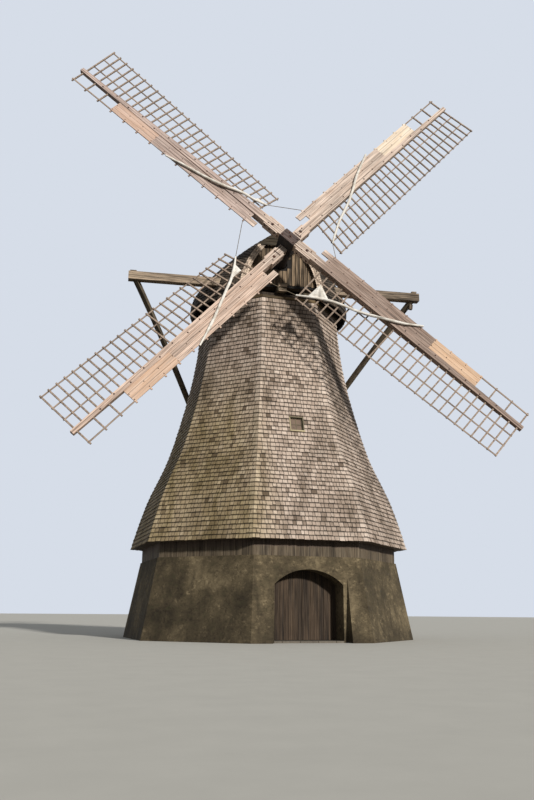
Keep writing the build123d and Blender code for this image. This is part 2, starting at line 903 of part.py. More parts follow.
for name, (inner_start, outer_start, end) in board_runs.items():
    with BuildPart() as boards:
        with BuildSketch(Plane.XY.offset(board_back)):
            with Locations((inner_start, 0)):
                Rectangle(end - inner_start, board_step, align=Align.MIN)
            with Locations((outer_start, board_step)):
                Rectangle(end - outer_start, board_edge - board_step, align=Align.MIN)
        extrude(amount=board_thickness)
        for distance in stub_places:
            if inner_start < distance < end:
                with BuildSketch(Plane.XY.offset(bar_plane - bar_depth / 2)):
                    with Locations((distance, 0)):
                        Rectangle(bar_width, board_edge + stub_overrun, align=(Align.CENTER, Align.MIN))
                extrude(amount=bar_depth)
        add(stock.part, mode=Mode.SUBTRACT)
    with BuildPart() as all_boards:
        for arm in range(4):
            with Locations(arm_place(arm)):
                add(boards.part)
    save(name, all_boards, rotor_place)

tip_places = [distance for distance in stub_places if distance > board_end]
with BuildPart() as tip_frame:
    with BuildSketch(Plane.XY.offset(bar_plane - bar_depth / 2)):
        for distance in tip_places:
            with Locations((distance, 0)):
                Rectangle(bar_width, board_edge + stub_overrun, align=(Align.CENTER, Align.MIN))
    extrude(amount=bar_depth)
    with BuildSketch(Plane.XY.offset(board_back)):
        with Locations((board_end, board_edge)):
            Rectangle(tip_places[-1] + bar_width - board_end, rail_width, align=(Align.MIN, Align.MAX))
    extrude(amount=rail_depth)
    add(stock.part, mode=Mode.SUBTRACT)

with BuildPart() as tip_frames:
    for arm in range(4):
        with Locations(arm_place(arm)):
            add(tip_frame.part)
save("tip_frames", tip_frames, rotor_place)


# Furled cloth: from the leading edge across the stock to the lattice's inner corner
def lattice_front(distance, across):
    """Height of the front of the lattice bars at a place on the trailing side."""
    angle = weather(distance)
    return bar_plane - across * tan(angle) + bar_depth / 2 / cos(angle)


def cloth_level(distance, across):
    """Height of the middle of a furled cloth where it lies on the boards, the stock or the lattice."""
    if across > roll_on_stock:
        front = board_front
    elif across < -roll_on_stock:
        front = lattice_front(distance, -across)
    else:
        front = stock_root / 2
    return front + roll_radius + roll_clearance


def furled_cloth(route):
    """Roll of cloth along a route with rounded bends."""
    with BuildPart() as roll:
        with BuildLine() as roll_line:
            FilletPolyline(route, radius=roll_bend)
        start = roll_line.line % 0
        with BuildSketch(Plane(origin=route[0], x_dir=Vector(0, 0, 1).cross(start), z_dir=start)):
            RegularPolygon(roll_radius, roll_sides)
        sweep(path=roll_line.line)
    return roll.part


roll_routes = []
for path in roll_paths:
    roll_routes.append([(distance, across, cloth_level(distance, across)) for distance, across in path])
rolls = [furled_cloth(route) for route in roll_routes]

with BuildPart() as sail_rolls:
    for arm, roll in enumerate(rolls):
        with Locations(arm_place(arm)):
            add(roll)
save("sail_rolls", sail_rolls, rotor_place)


def in_hub(arm, point):
    """Place in the hub's frame of a point given in an arm's own frame."""
    return (arm_place(arm) * Pos(point)).position


def rope_room(face_way, rope_way):
    """How far out of a face the middle of a rope's cut end lies when its rim just clears the face."""
    return rope_radius * sin(radians(rope_way.get_angle(face_way))) + seat_gap


with BuildPart() as sail_ropes:
    for arm, route in enumerate(roll_routes):
        roll_end = in_hub(arm, route[-1])
        roll_way = (roll_end - in_hub(arm, route[-2])).normalized()
        stub_end = in_hub(arm - 1, (bar_first, board_edge + stub_overrun, bar_plane))
        stub_way = (stub_end - in_hub(arm - 1, (bar_first, 0, bar_plane))).normalized()
        rope_way = stub_end - roll_end
        start = roll_end + roll_way * rope_room(roll_way, rope_way)
        end = stub_end + stub_way * rope_room(stub_way, rope_way)
        with BuildSketch(Plane(origin=start, z_dir=end - start)):
            RegularPolygon(rope_radius, roll_sides)
        extrude(amount=(end - start).length)
save("sail_ropes", sail_ropes, rotor_place)
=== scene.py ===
"""Smock windmill: shingles, boards, cloth, ironwork and finishes on the mill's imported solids.

Metres, Z up, in the solids' own frame: the mill's axis is at the origin and the door faces -Y.
"""

import math
import random

import bmesh
import bpy
from mathutils import Matrix, Vector
from mathutils.bvhtree import BVHTree


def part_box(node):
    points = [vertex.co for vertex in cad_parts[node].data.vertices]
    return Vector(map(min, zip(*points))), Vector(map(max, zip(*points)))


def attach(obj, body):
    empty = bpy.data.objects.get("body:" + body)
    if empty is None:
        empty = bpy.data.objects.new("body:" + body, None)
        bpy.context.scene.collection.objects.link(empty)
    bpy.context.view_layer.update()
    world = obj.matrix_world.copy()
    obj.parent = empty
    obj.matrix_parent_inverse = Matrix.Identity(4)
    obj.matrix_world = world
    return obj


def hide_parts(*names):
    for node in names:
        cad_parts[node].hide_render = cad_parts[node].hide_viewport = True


bl_info = {
    "name": "Smock windmill",
    "version": (1, 0),
    "blender": (4, 5, 0),
    "location": "3D View > Sidebar > Windmill",
    "description": "Shingles, boards, cloth and finishes for a smock windmill",
    "category": "Add Mesh",
}

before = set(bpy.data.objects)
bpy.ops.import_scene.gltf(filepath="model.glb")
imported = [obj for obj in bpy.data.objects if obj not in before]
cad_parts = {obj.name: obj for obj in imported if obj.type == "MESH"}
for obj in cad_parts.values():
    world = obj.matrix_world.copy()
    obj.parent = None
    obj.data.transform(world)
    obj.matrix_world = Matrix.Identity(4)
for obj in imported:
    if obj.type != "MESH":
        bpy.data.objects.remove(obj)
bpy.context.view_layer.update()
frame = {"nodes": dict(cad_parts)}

QUARTER = math.radians(90)
HALF_FACE = math.radians(22.5)
FACE_TURN = math.radians(45)

# Smock
SMOCK_FOOT = 3.272
WINDOW_COURSES = (7.19, 7.8)
WINDOW_GAP = 0.27
WINDOW_FOOT = 7.195
WINDOW_HEAD = 7.755
WINDOW_MIDDLE = 7.475
CURB_RADIUS = 2.8

# Cap, in its own turned frame
CAP_TURN = Matrix.Rotation(math.radians(-7.17), 4, "Z")
ROOF_FRONT = -2.745
ROOF_REAR = 2.695
ROOF_CENTRE = 12.85
OUTLINE_CENTRE = 12.855
CAP_RADIUS = 3.2
SKIRT_LEVELS = (12.562, 12.69, 12.815)
SKIRT_COUNT = 170
SKIRT_ENDS = (-2.6, 2.68)
RIDGE_ENDS = (-2.74, 2.62)
SADDLE_PITCH = 0.15
SADDLE_REACH = 0.2
GABLE_HALF = 2.1
GABLE_BOARD = 0.17
GABLE_FOOT = 13.14
GABLE_FRONT = 2.626
REAR_FOOT = 13.1
PANEL_FOOT = 14.66
SHAFT_CROSSING = 2.625
SHAFT_HOLE = 0.31
VERGE_FOOT = 12.82
VERGE_STATION = -2.74
VERGE_FRONT = 2.793
PANEL_FRONT = 2.812
VERGE_PITCH = 0.08
VERGE_ROWS = ((0.16, 0.258), (0.08, 0.178), (0.0, 0.098))
ABOVE_ROOF = 16
POLE_HEAD = Vector((0, 2.85, 13.045))
POLE_FOOT = Vector((0, 8.6, 0.95))

# Sails, in their own turned frame
ARMS = ("upper_right", "upper_left", "lower_left", "lower_right")
HUB = Vector((0, -3.918, 14.26))
SHAFT_TILT = math.radians(11.016)
ARM_ANGLE = math.radians(47.78)
SAIL_TIP = 10.8
STOCK_GAP = 0.411
STOCK_HALF = 0.16
CLAMP_END = 1.12
NOSE_FRONT = 0.41
BAR_FIRST = 1.714
BAR_PITCH = 0.3432
BAR_COUNT = 27
BAR_PLANE = 0.04
BAR_HALF = 0.0225
ROOT_ANGLE = 18.4
TIP_ANGLE = -2.9
BOARD_FRONT = 0.1025
BOARD_END = 8.6
STUB_END = 0.686
ARM_TINTS = (1.0, (0.78, 0.76, 0.8), (0.97, 0.91, 0.88), (0.52, 0.48, 0.47))
NEW_TINTS = (1.0, (0.73, 0.62, 0.62), (0.77, 0.65, 0.61), (0.8, 0.66, 0.57))

# Cloth and ropes: places along and across an arm
ROLL_HEIGHT = 0.0556
ROLL_ON_STOCK = 0.25
ROLL_STEPS = 72
TURN_STEPS = 14
ROLL_PATHS = (
    ((5.88, 0.69), (4.85, 0.32), (4.54, 0.185), (3.78, -0.185), (3.09, -0.45), (2.4, -0.63), (1.64, -1.04)),
    ((5.65, 0.69), (4.6, 0.43), (4.0, 0.31), (3.35, 0.185), (2.54, -0.185), (1.95, -0.47), (1.64, -0.69)),
    ((5.58, 0.68), (4.5, 0.33), (4.17, 0.185), (3.23, -0.185), (2.35, -0.58), (1.64, -1.08)),
    (
        (5.85, 0.68), (5.48, 0.4), (5.28, 0.185), (4.66, -0.185),
        (3.8, -0.52), (3.0, -0.73), (2.35, -1.01), (1.64, -1.44),
    ),
)
CORNER_PATHS = {
    1: ((1.66, -0.67), (2.12, -0.4), (2.11, -0.63)),
    2: ((1.98, -0.83), (2.58, -0.47), (2.07, -0.46)),
    3: ((2.0, -1.21), (2.7, -0.86), (2.05, -0.58)),
}
ROPE_RADIUS = 0.013
STRAND_RADIUS = 0.0062
STRAND_OFFSET = 0.0066
ROPE_LAY = 0.1
ROPE_STEP = 0.014


def seen(red, green, blue):
    """A colour as a screen shows it, 0 to 255, in linear numbers."""
    return tuple(
        part / 12.92 if part <= 0.04045 else ((part + 0.055) / 1.055) ** 2.4
        for part in (red / 255, green / 255, blue / 255)
    )


def colour_property(name, description, red, green, blue):
    """A colour setting with a default as a screen shows it."""
    return bpy.props.FloatVectorProperty(
        name=name,
        description=description,
        subtype="COLOR",
        size=3,
        min=0,
        max=1,
        default=seen(red, green, blue),
    )


def length_property(name, description, default):
    """A length setting in metres."""
    return bpy.props.FloatProperty(
        name=name, description=description, subtype="DISTANCE", unit="LENGTH", default=default, min=0
    )


def angle_property(name, description, default):
    """An angle setting in radians."""
    return bpy.props.FloatProperty(
        name=name, description=description, subtype="ANGLE", unit="ROTATION", default=default
    )


def light_property(name, description, default):
    """A setting for a light's strength."""
    return bpy.props.FloatProperty(name=name, description=description, default=default, min=0)


class MillMasonry(bpy.types.PropertyGroup):
    """Plaster, paving and doors"""

    # The plaster colours are the render's own colours darkened partly as painted shade, standing for the
    # shade of trees over the base.
    plaster: colour_property("Plaster", "Old render on the base walls", 92, 81, 62)
    plaster_dark: colour_property("Damp plaster", "Stained render", 56, 49, 38)
    plaster_pale: colour_property("Bare patches", "Where the render has flaked", 142, 127, 99)
    moss: colour_property("Moss", "Green growth on the render", 66, 63, 44)
    floor: colour_property("Paving", "Stone floor inside the door", 120, 112, 100)
    door: colour_property("Door boards", "Upright boards of the doors", 84, 68, 52)
    door_dark: colour_property("Door stain", "Dark streaks on the doors", 38, 29, 21)
    door_board: length_property("Door board width", "Width of one door board", 0.155)


class MillSmock(bpy.types.PropertyGroup):
    """Shingles, curb and windows of the smock"""

    course: length_property("Course height", "Shingle that shows in each course", 0.166)
    width: length_property("Shingle width", "Usual width of a shingle", 0.152)
    butt: length_property("Butt thickness", "How far the lower edge stands out", 0.03)
    pale: colour_property("Pale shingle", "Sun-bleached shingles", 216, 199, 184)
    middle: colour_property("Usual shingle", "Most of the shingles", 187, 168, 152)
    dark: colour_property("Dark shingle", "Old shingles", 112, 96, 82)
    stain: colour_property("Stain", "Water marks", 104, 90, 72)
    algae: colour_property("Algae", "Green growth on the shady side, as a share of the wood", 222, 218, 180)
    boards: colour_property("Curb boards", "Boards under the cap", 134, 112, 80)
    window: colour_property("Window wood", "Frames and casings", 190, 176, 142)
    glass: colour_property("Panes", "Dusty window glass", 124, 104, 88)


class MillCap(bpy.types.PropertyGroup):
    """Roof, gables and frame of the cap"""

    course: length_property("Roof course", "Shingle that shows in each roof course", 0.15)
    width: length_property("Roof shingle", "Usual width of a roof shingle", 0.13)
    butt: length_property("Roof butt", "How far a roof shingle's edge stands out", 0.028)
    pale: colour_property("Pale roof shingle", "Bleached roof shingles", 122, 110, 96)
    middle: colour_property("Roof shingle colour", "Most of the roof", 86, 76, 65)
    dark: colour_property("Dark roof shingle", "Old roof shingles", 46, 39, 33)
    verge: colour_property("Verge shingle", "Small pale shingles of the verge", 214, 194, 174)
    gable: colour_property("Gable boards", "Weathered gable boards", 166, 142, 114)
    # The gable stain is partly painted shade: deeper than the weathered streaks alone, spread at random over
    # the boards.
    gable_dark: colour_property("Gable stain", "Dark streaks on the gable", 40, 29, 18)
    panel: colour_property("Ridge panel", "Level boards at the top of the gable", 70, 61, 45)
    frame: colour_property("Frame timber", "Bleached faces of the beams", 196, 174, 149)
    frame_dark: colour_property("Frame stain", "Dark streaks on the beams", 66, 53, 40)
    brace: colour_property("Brace timber", "Braces and tail pole", 120, 107, 88)


class MillSails(bpy.types.PropertyGroup):
    """Stocks, boards, lattices and cloth"""

    timber: colour_property("Sail timber", "Stocks and old windboards", 236, 216, 200)
    timber_dark: colour_property("Sail timber stain", "Grain of the sail timber", 168, 142, 124)
    fresh: colour_property("New boards", "Newer windboards", 243, 230, 212)
    fresh_dark: colour_property("New board grain", "Grain of the newer boards", 224, 194, 160)
    bars: colour_property("Lattice bars", "Bars and laths", 182, 162, 144)
    bars_dark: colour_property("Lattice stain", "Dark side of the bars", 104, 86, 74)
    iron: colour_property("Iron", "Bolts, plates and hinges", 50, 44, 42)
    rust: colour_property("Rust", "Rust on the iron", 104, 62, 40)
    cloth: colour_property("Sailcloth", "Furled canvas", 240, 235, 226)
    cloth_dark: colour_property("Sailcloth dirt", "Dirt in the folds", 196, 185, 168)
    rope: colour_property("Rope", "Sail ropes", 150, 136, 116)
    # The hub colour is dark wood darkened further as painted shade, standing for the black shaded sides of
    # the head.
    hub: colour_property("Hub", "Tarred head and shaft", 52, 43, 40)
    cloth_turns: bpy.props.IntProperty(
        name="Cloth turns",
        description="How many times a sailcloth is rolled",
        default=6,
        min=2,
        max=10,
    )


class MillStage(bpy.types.PropertyGroup):
    """Camera, lights and floor"""

    eye: bpy.props.FloatVectorProperty(
        name="Eye",
        description="Where the camera stands",
        subtype="TRANSLATION",
        unit="LENGTH",
        size=3,
        default=(-9.5, -29.96, 0.95),
    )
    heading: angle_property("Heading", "Way the camera faces, clockwise from +Y", math.atan2(0.3015, 0.9535))
    pitch: angle_property("Pitch", "How far the camera looks up", math.radians(14.745))
    roll: angle_property("Roll", "How far the camera leans", math.radians(0.4265))
    lens: bpy.props.FloatProperty(
        name="Lens",
        description="Focal length for a 36 mm long side",
        subtype="DISTANCE_CAMERA",
        default=36.28,
    )
    sky: colour_property("Backdrop", "Pale backdrop", 214, 221, 232)
    ground: colour_property("Floor", "Pale floor", 196, 194, 186)
    ground_dim: colour_property("Floor light", "Colour of the light that the floor throws back", 92, 90, 84)
    sun: light_property("Main light", "Strength of the soft main light", 3.8)
    fill: light_property("Fill light", "Strength of the light from all round", 0.3)


# Materials


def toned(colour, share):
    """A colour made darker or paler by one factor."""
    return [part * share for part in colour]


class Finish:
    """A material in the making."""

    def __init__(self, name, roughness=0.8, specular=0.3):
        self.material = bpy.data.materials.new(name)
        self.material.use_nodes = True
        self.tree = self.material.node_tree
        self.shader = self.tree.nodes["Principled BSDF"]
        self.shader.inputs["Roughness"].default_value = roughness
        self.shader.inputs["Specular IOR Level"].default_value = specular
        self.place = self.node("TexCoord").outputs["Object"]

    def put(self, socket, value):
        """Link a socket to another one, or set its own value."""
        if isinstance(value, bpy.types.NodeSocket):
            self.tree.links.new(value, socket)
        else:
            socket.default_value = value

    def node(self, kind, values=None, **settings):
        """A new node with its settings and its inputs."""
        made = self.tree.nodes.new("ShaderNode" + kind)
        for key, value in settings.items():
            setattr(made, key, value)
        for key, value in (values or {}).items():
            self.put(made.inputs[key], value)
        return made

    def noise(self, vector, scale, detail=4, roughness=0.6, twist=0):
        """Cloudy noise with so many spots to a metre."""
        values = {
            "Vector": vector,
            "Scale": scale,
            "Detail": detail,
            "Roughness": roughness,
            "Distortion": twist,
        }
        return self.node("TexNoise", values).outputs[0]

    def streaks(self, vector, scales, detail=4, roughness=0.6, twist=0):
        """Noise with its own scale along each axis."""
        mapped = self.node("Mapping", {"Vector": vector, "Scale": scales}).outputs[0]
        return self.noise(mapped, 1, detail, roughness, twist)

    def attribute(self, name, output="Fac"):
        """A value that the mesh carries."""
        return self.node("Attribute", attribute_name=name).outputs[output]

    def parts(self, vector):
        """The three numbers of a vector."""
        return self.node("SeparateXYZ", {0: vector}).outputs

    def between(self, value, low, high, first=0.0, last=1.0):
        """A value carried over from one span to another and held at its ends."""
        return self.node("MapRange", {0: value, 1: low, 2: high, 3: first, 4: last}).outputs[0]

    def ramp(self, value, *stops):
        """Colours or greys at places from 0 to 1."""
        made = self.node("ValToRGB", {"Fac": value})
        points = made.color_ramp.elements
        while len(points) < len(stops):
            points.new(0.5)
        for point, (place, colour) in zip(points, stops):
            point.position = place
            if isinstance(colour, (int, float)):
                colour = (colour, colour, colour)
            point.color = (*colour, 1)
        return made.outputs[0]

    def mix(self, share, first, second, blend="MIX"):
        """Two colours mixed by a share, with plain numbers taken as greys."""
        made = self.node("Mix", data_type="RGBA", blend_type=blend)
        self.put(made.inputs[0], share)
        for index, value in ((6, first), (7, second)):
            if isinstance(value, (int, float)):
                value = (value, value, value)
            if not isinstance(value, bpy.types.NodeSocket):
                value = (*value, 1)
            self.put(made.inputs[index], value)
        return made.outputs[2]

    def shaded(self, share, colour, value, *stops):
        """A colour darkened or lightened by a ramp."""
        return self.mix(share, colour, self.ramp(value, *stops), "MULTIPLY")

    def calculate(self, operation, first, second=0.0):
        """A sum of two numbers."""
        return self.node("Math", {0: first, 1: second}, operation=operation).outputs[0]

    def add(self, first, second):
        """Two numbers added up."""
        return self.calculate("ADD", first, second)

    def times(self, first, second):
        """The product of two numbers."""
        return self.calculate("MULTIPLY", first, second)

    def finish(self, colour, height=None, distance=0.01, roughness=None):
        """Join the colour, relief and roughness to the shader."""
        self.put(self.shader.inputs["Base Color"], colour)
        if height is not None:
            bump = self.node("Bump", {"Height": height, "Distance": distance, "Strength": 0.6})
            self.put(self.shader.inputs["Normal"], bump.outputs[0])
        if roughness is not None:
            self.put(self.shader.inputs["Roughness"], roughness)
        return self.material


def turned_coordinates(work, place):
    """Object coordinates seen from a piece's own axes."""
    return work.node(
        "Mapping",
        {"Vector": work.place, "Location": place.translation, "Rotation": place.to_euler()},
        vector_type="TEXTURE",
    ).outputs[0]


def mirrored_coordinates(work, place):
    """The same on both sides of the planes through the place."""
    vector = turned_coordinates(work, place)
    return work.node("VectorMath", {0: vector}, operation="ABSOLUTE").outputs[0]


def grain_of(place):
    """Coordinates for grain that runs along the first axis of a place."""
    return lambda work: turned_coordinates(work, place)


def upright_coordinates(work):
    """Grain that runs up the mill."""
    return work.node("Mapping", {"Vector": work.place, "Rotation": (0, QUARTER, 0)}).outputs[0]


def cap_coordinates(work):
    """Grain along the cap's own length."""
    return turned_coordinates(work, CAP_TURN @ Matrix.Rotation(QUARTER, 4, "Z"))


def cross_coordinates(work):
    """Grain across the cap."""
    return turned_coordinates(work, CAP_TURN)


def brace_coordinates(work):
    """Grain down the braces, the same on both sides."""
    vector = mirrored_coordinates(work, CAP_TURN)
    slope = (math.radians(40), math.radians(58), 0)
    return work.node("Mapping", {"Vector": vector, "Rotation": slope}).outputs[0]


def sail_coordinates(work):
    """Along, across and through a sail's timbers, the same on all four arms."""
    parts = work.parts(mirrored_coordinates(work, rotor_place(ARM_ANGLE)))
    along = work.calculate("MAXIMUM", parts[0], parts[1])
    across = work.calculate("MINIMUM", parts[0], parts[1])
    return work.node("CombineXYZ", {0: along, 1: across, 2: parts[2]}).outputs[0]


def by_arm(work, tints):
    """A tint for each arm of the sails, told apart along the rotor's own axes."""
    parts = work.parts(turned_coordinates(work, rotor_place(ARM_ANGLE)))
    both = []
    for axis in (0, 1):
        place = work.between(parts[axis], -4.0, 4.0)
        stops = ((0.28, tints[axis + 2]), (0.35, 1.0), (0.65, 1.0), (0.72, tints[axis]))
        both.append(work.ramp(place, *stops))
    return work.mix(1.0, both[0], both[1], "MULTIPLY")


def timber_finish(name, pale, dark, vector=None, weather=0.5, checks=0.6, joints=(), tints=None):
    """Weathered wood, with its grain along the first coordinate."""
    work = Finish(name)
    own = vector is None
    vector = work.attribute("grain", "Vector") if own else vector(work)
    fibres = work.streaks(vector, (1.1, 26, 26), 7, 0.62, 0.4)
    fine = work.streaks(vector, (5, 150, 150))
    broad = work.streaks(vector, (0.45, 7.5, 7.5), 5, 0.6, 0.3)
    cracks = work.streaks(vector, (0.5, 30, 30), 3, 0.5, 0.6)
    half = [a * 0.4 + b * 0.6 for a, b in zip(dark, pale)]
    wood = work.ramp(fibres, (0.3, dark), (0.48, half), (0.66, pale))
    wood = work.shaded(0.4, wood, fine, (0.3, 0.55), (0.7, 1.1))
    wood = work.shaded(weather, wood, broad, (0.38, 0.25), (0.5, 0.85), (0.64, 1.2))
    wood = work.shaded(checks, wood, cracks, (0.35, 0.15), (0.41, 1.0))
    if own:
        wood = work.shaded(1.0, wood, work.attribute("tone"), (0.0, 0.5), (1.0, 1.3))
    if tints:
        wood = work.mix(1.0, wood, by_arm(work, tints), "MULTIPLY")
    height = work.add(work.add(fibres, fine), work.ramp(cracks, (0.35, 0.0), (0.4, 1.0)))
    across = work.parts(vector)[1]
    for place in joints:
        gap = work.calculate("ABSOLUTE", work.calculate("SUBTRACT", across, place))
        line = work.ramp(gap, (0.0, 0.0), (0.012, 1.0))
        wood = work.mix(0.75, wood, line, "MULTIPLY")
        height = work.add(height, line)
    return work.finish(wood, height, 0.004, work.ramp(fibres, (0.3, 0.9), (0.7, 0.68)))


def shingle_finish(name, pale, middle, dark, stain, stained=0.55, algae=None):
    """Split shingles: one tone each, dark joints, grain up the slope and water marks over all, with painted
    shade along each shingle's sides, and painted shade with some dirt under the butt of the course above.
    """
    work = Finish(name)
    tone = work.attribute("tone")
    grain = work.streaks(work.place, (70, 70, 5))
    streaks = work.streaks(work.place, (17, 17, 1.6), 4, 0.6, 0.3)
    marks = work.streaks(work.place, (1.5, 1.5, 0.28), 6, 0.65, 0.3)
    patches = work.streaks(work.place, (0.5, 0.5, 0.4), 5, 0.6)
    wood = work.ramp(tone, (0.0, dark), (0.45, middle), (1.0, pale))
    wood = work.shaded(0.5, wood, grain, (0.3, 0.55), (0.66, 1.12))
    wood = work.shaded(0.6, wood, streaks, (0.32, 0.6), (0.5, 1.0), (0.68, 1.15))
    shade = work.mix(0.45, stain, work.mix(1.0, wood, stain, "MULTIPLY"))
    wood = work.mix(work.ramp(marks, (0.48, 0.0), (0.72, stained)), wood, shade)
    wood = work.mix(work.ramp(patches, (0.5, 0.0), (0.75, stained * 0.7)), wood, shade)
    if algae:
        parts = work.parts(work.place)
        west = work.between(parts[0], -0.8, -2.2)
        low = work.between(parts[2], 10.4, 7.4)
        growth = work.times(work.times(west, low), work.ramp(marks, (0.3, 0.55), (0.6, 1.0)))
        wood = work.mix(growth, wood, algae, "MULTIPLY")
    # Painted shade: the upper end of each shingle, just under the butt of the course above, is darkened,
    # together with some dirt there.
    edge = work.attribute("edge")
    wood = work.shaded(1.0, wood, edge, (0.0, 1.0), (0.63, 1.0), (0.78, 0.27), (1.0, 0.1))
    # Painted shade: the side edges of each shingle are darkened, standing for the shaded gaps between
    # shingles.
    side = work.calculate("ABSOLUTE", work.parts(work.attribute("grain", "Vector"))[0])
    wood = work.shaded(1.0, wood, side, (0.83, 1.0), (0.95, 0.5), (1.0, 0.35))
    height = work.add(grain, work.times(tone, 0.5))
    return work.finish(wood, height, 0.006, work.ramp(grain, (0.3, 0.95), (0.7, 0.75)))


def plaster_finish(settings):
    """Old render: damp at the foot, mossy, and flaked in patches."""
    work = Finish("old_plaster", 0.92, 0.2)
    damp, usual, pale = settings.plaster_dark, settings.plaster, settings.plaster_pale
    up = work.parts(work.place)[2]
    broad = work.noise(work.place, 0.6, 8, 0.66, 0.2)
    spots = work.streaks(work.place, (4.2, 4.2, 7), 9, 0.72, 0.1)
    pits = work.noise(work.place, 11, 6, 0.7)
    fine = work.noise(work.place, 26, 6, 0.7)
    drips = work.streaks(work.place, (2.6, 2.6, 0.22), 5, 0.6, 0.4)
    wall = work.ramp(broad, (0.36, damp), (0.52, usual), (0.72, pale))
    wall = work.mix(work.ramp(drips, (0.46, 0.0), (0.7, 0.6)), wall, damp)
    flakes = work.ramp(spots, (0.52, 0.0), (0.62, 0.85))
    wall = work.mix(work.times(flakes, work.ramp(broad, (0.44, 0.0), (0.56, 1.0))), wall, pale)
    green = work.ramp(spots, (0.34, 1.0), (0.5, 0.0))
    wall = work.mix(work.times(green, work.ramp(broad, (0.4, 0.8), (0.58, 0.0))), wall, settings.moss)
    foot = work.between(up, 0.0, 0.9, 0.6, 0.0)
    wall = work.mix(work.times(foot, work.ramp(drips, (0.3, 0.5), (0.7, 1.0))), wall, damp)
    wall = work.shaded(0.55, wall, pits, (0.36, 0.35), (0.48, 0.95), (0.7, 1.15))
    wall = work.shaded(0.35, wall, fine, (0.3, 0.5), (0.7, 1.15))
    flaked = work.ramp(spots, (0.54, 1.0), (0.6, 0.5))
    height = work.add(work.add(work.times(fine, 0.25), flaked), work.times(broad, 0.8))
    return work.finish(wall, height, 0.03)


def paving_finish(settings):
    """Worn stone flags."""
    work = Finish("floor_flags", 0.85, 0.3)
    sizes = {
        "Vector": work.place,
        "Scale": 1.0,
        "Mortar Size": 0.012,
        "Brick Width": 0.62,
        "Row Height": 0.41,
        "Color1": (*settings.floor, 1),
        "Color2": (*toned(settings.floor, 0.72), 1),
        "Mortar": (*settings.plaster_dark, 1),
    }
    flags = work.node("TexBrick", sizes)
    worn = work.noise(work.place, 7, 8, 0.65)
    stone = work.shaded(0.6, flags.outputs["Color"], worn, (0.3, 0.5), (0.7, 1.1))
    height = work.calculate("SUBTRACT", work.times(worn, 0.3), flags.outputs["Fac"])
    return work.finish(stone, height, 0.008)


def iron_finish(settings):
    """Dark iron with rust."""
    work = Finish("old_iron", 0.6, 0.5)
    work.shader.inputs["Metallic"].default_value = 0.35
    rust = work.noise(work.place, 18, 8, 0.7, 0.5)
    fine = work.noise(work.place, 120, 4)
    colour = work.mix(work.ramp(rust, (0.42, 0.0), (0.62, 1.0)), settings.iron, settings.rust)
    colour = work.shaded(0.4, colour, fine, (0.3, 0.5), (0.7, 1.1))
    return work.finish(colour, work.add(rust, fine), 0.002, work.ramp(rust, (0.4, 0.5), (0.6, 0.85)))


def cloth_finish(settings):
    """Canvas: a woven face with patches of dirt, darker in the hollows of its creases."""
    work = Finish("sail_canvas", 0.9, 0.15)
    work.shader.inputs["Sheen Weight"].default_value = 0.15
    vector = work.attribute("grain", "Vector")
    dirt = work.noise(work.place, 3.5, 6, 0.6, 0.5)
    crease = work.streaks(vector, (2.2, 18, 18), 5, 0.6, 0.8)
    threads = []
    for way in ("X", "Y"):
        values = {"Vector": vector, "Scale": 90.0, "Distortion": 0.4}
        threads.append(work.node("TexWave", values, bands_direction=way).outputs["Fac"])
    weave = work.add(*threads)
    canvas = work.ramp(dirt, (0.3, settings.cloth_dark), (0.55, settings.cloth))
    # Darker where the crease relief is low.
    canvas = work.shaded(0.4, canvas, crease, (0.34, 0.5), (0.56, 1.0))
    canvas = work.shaded(0.2, canvas, weave, (0.2, 0.7), (1.0, 1.0))
    return work.finish(canvas, work.add(work.times(weave, 0.12), crease), 0.01)


def rope_finish(settings):
    """Tarred hemp."""
    work = Finish("hemp_rope", 0.9, 0.15)
    hairs = work.noise(work.place, 160, 5, 0.7)
    dirt = work.noise(work.place, 2.5, 4)
    hemp = work.ramp(dirt, (0.3, toned(settings.rope, 0.5)), (0.65, settings.rope))
    hemp = work.shaded(0.5, hemp, hairs, (0.3, 0.4), (0.7, 1.1))
    return work.finish(hemp, hairs, 0.002)


def glass_finish(settings):
    """Old window glass, blind with dust."""
    work = Finish("dusty_glass", 0.5, 0.2)
    dust = work.noise(work.place, 7, 6, 0.65)
    pane = work.ramp(dust, (0.35, toned(settings.glass, 0.6)), (0.7, settings.glass))
    return work.finish(pane, work.noise(work.place, 2, 2), 0.004, work.ramp(dust, (0.35, 0.4), (0.7, 0.7)))


# Places


def rotor_place(turn=0):
    """The hub's own axes: X and Y in the sails' plane, Z out of the nose."""
    out = Vector((0, -math.cos(SHAFT_TILT), math.sin(SHAFT_TILT)))
    right = Vector((1, 0, 0))
    place = Matrix((right, out.cross(right), out)).transposed().to_4x4()
    place.translation = HUB
    return CAP_TURN @ place @ Matrix.Rotation(turn, 4, "Z")


def arm_place(arm):
    """An arm's own axes: X to the tip, Y to the leading edge, Z to the front."""
    height = STOCK_GAP / 2 * (1 if arm % 2 else -1)
    return rotor_place(ARM_ANGLE + QUARTER * arm) @ Matrix.Translation((0, 0, height))


def surface_of(*names):
    """The surface of some solids, to set small pieces on."""
    points, faces = [], []
    for name in names:
        mesh = frame["nodes"][name].data
        first = len(points)
        points += [vertex.co.copy() for vertex in mesh.vertices]
        faces += [[first + corner for corner in polygon.vertices] for polygon in mesh.polygons]
    return BVHTree.FromPolygons(points, faces)


def meet(surface, start, way):
    """Where a straight line from a point first meets a surface."""
    place = surface.ray_cast(start, way)[0]
    if place is None:
        raise RuntimeError(f"nothing to set a piece on from {tuple(start)}")
    return place


def wall_point(wall, level):
    """A point of the smock's front wall at a level."""
    return meet(wall, Vector((0.6, -9, level)), Vector((0, 1, 0)))


def crest_point(roof, across, station):
    """A point on top of the roof."""
    return meet(roof, CAP_TURN @ Vector((across, station, 17)), Vector((0, 0, -1)))


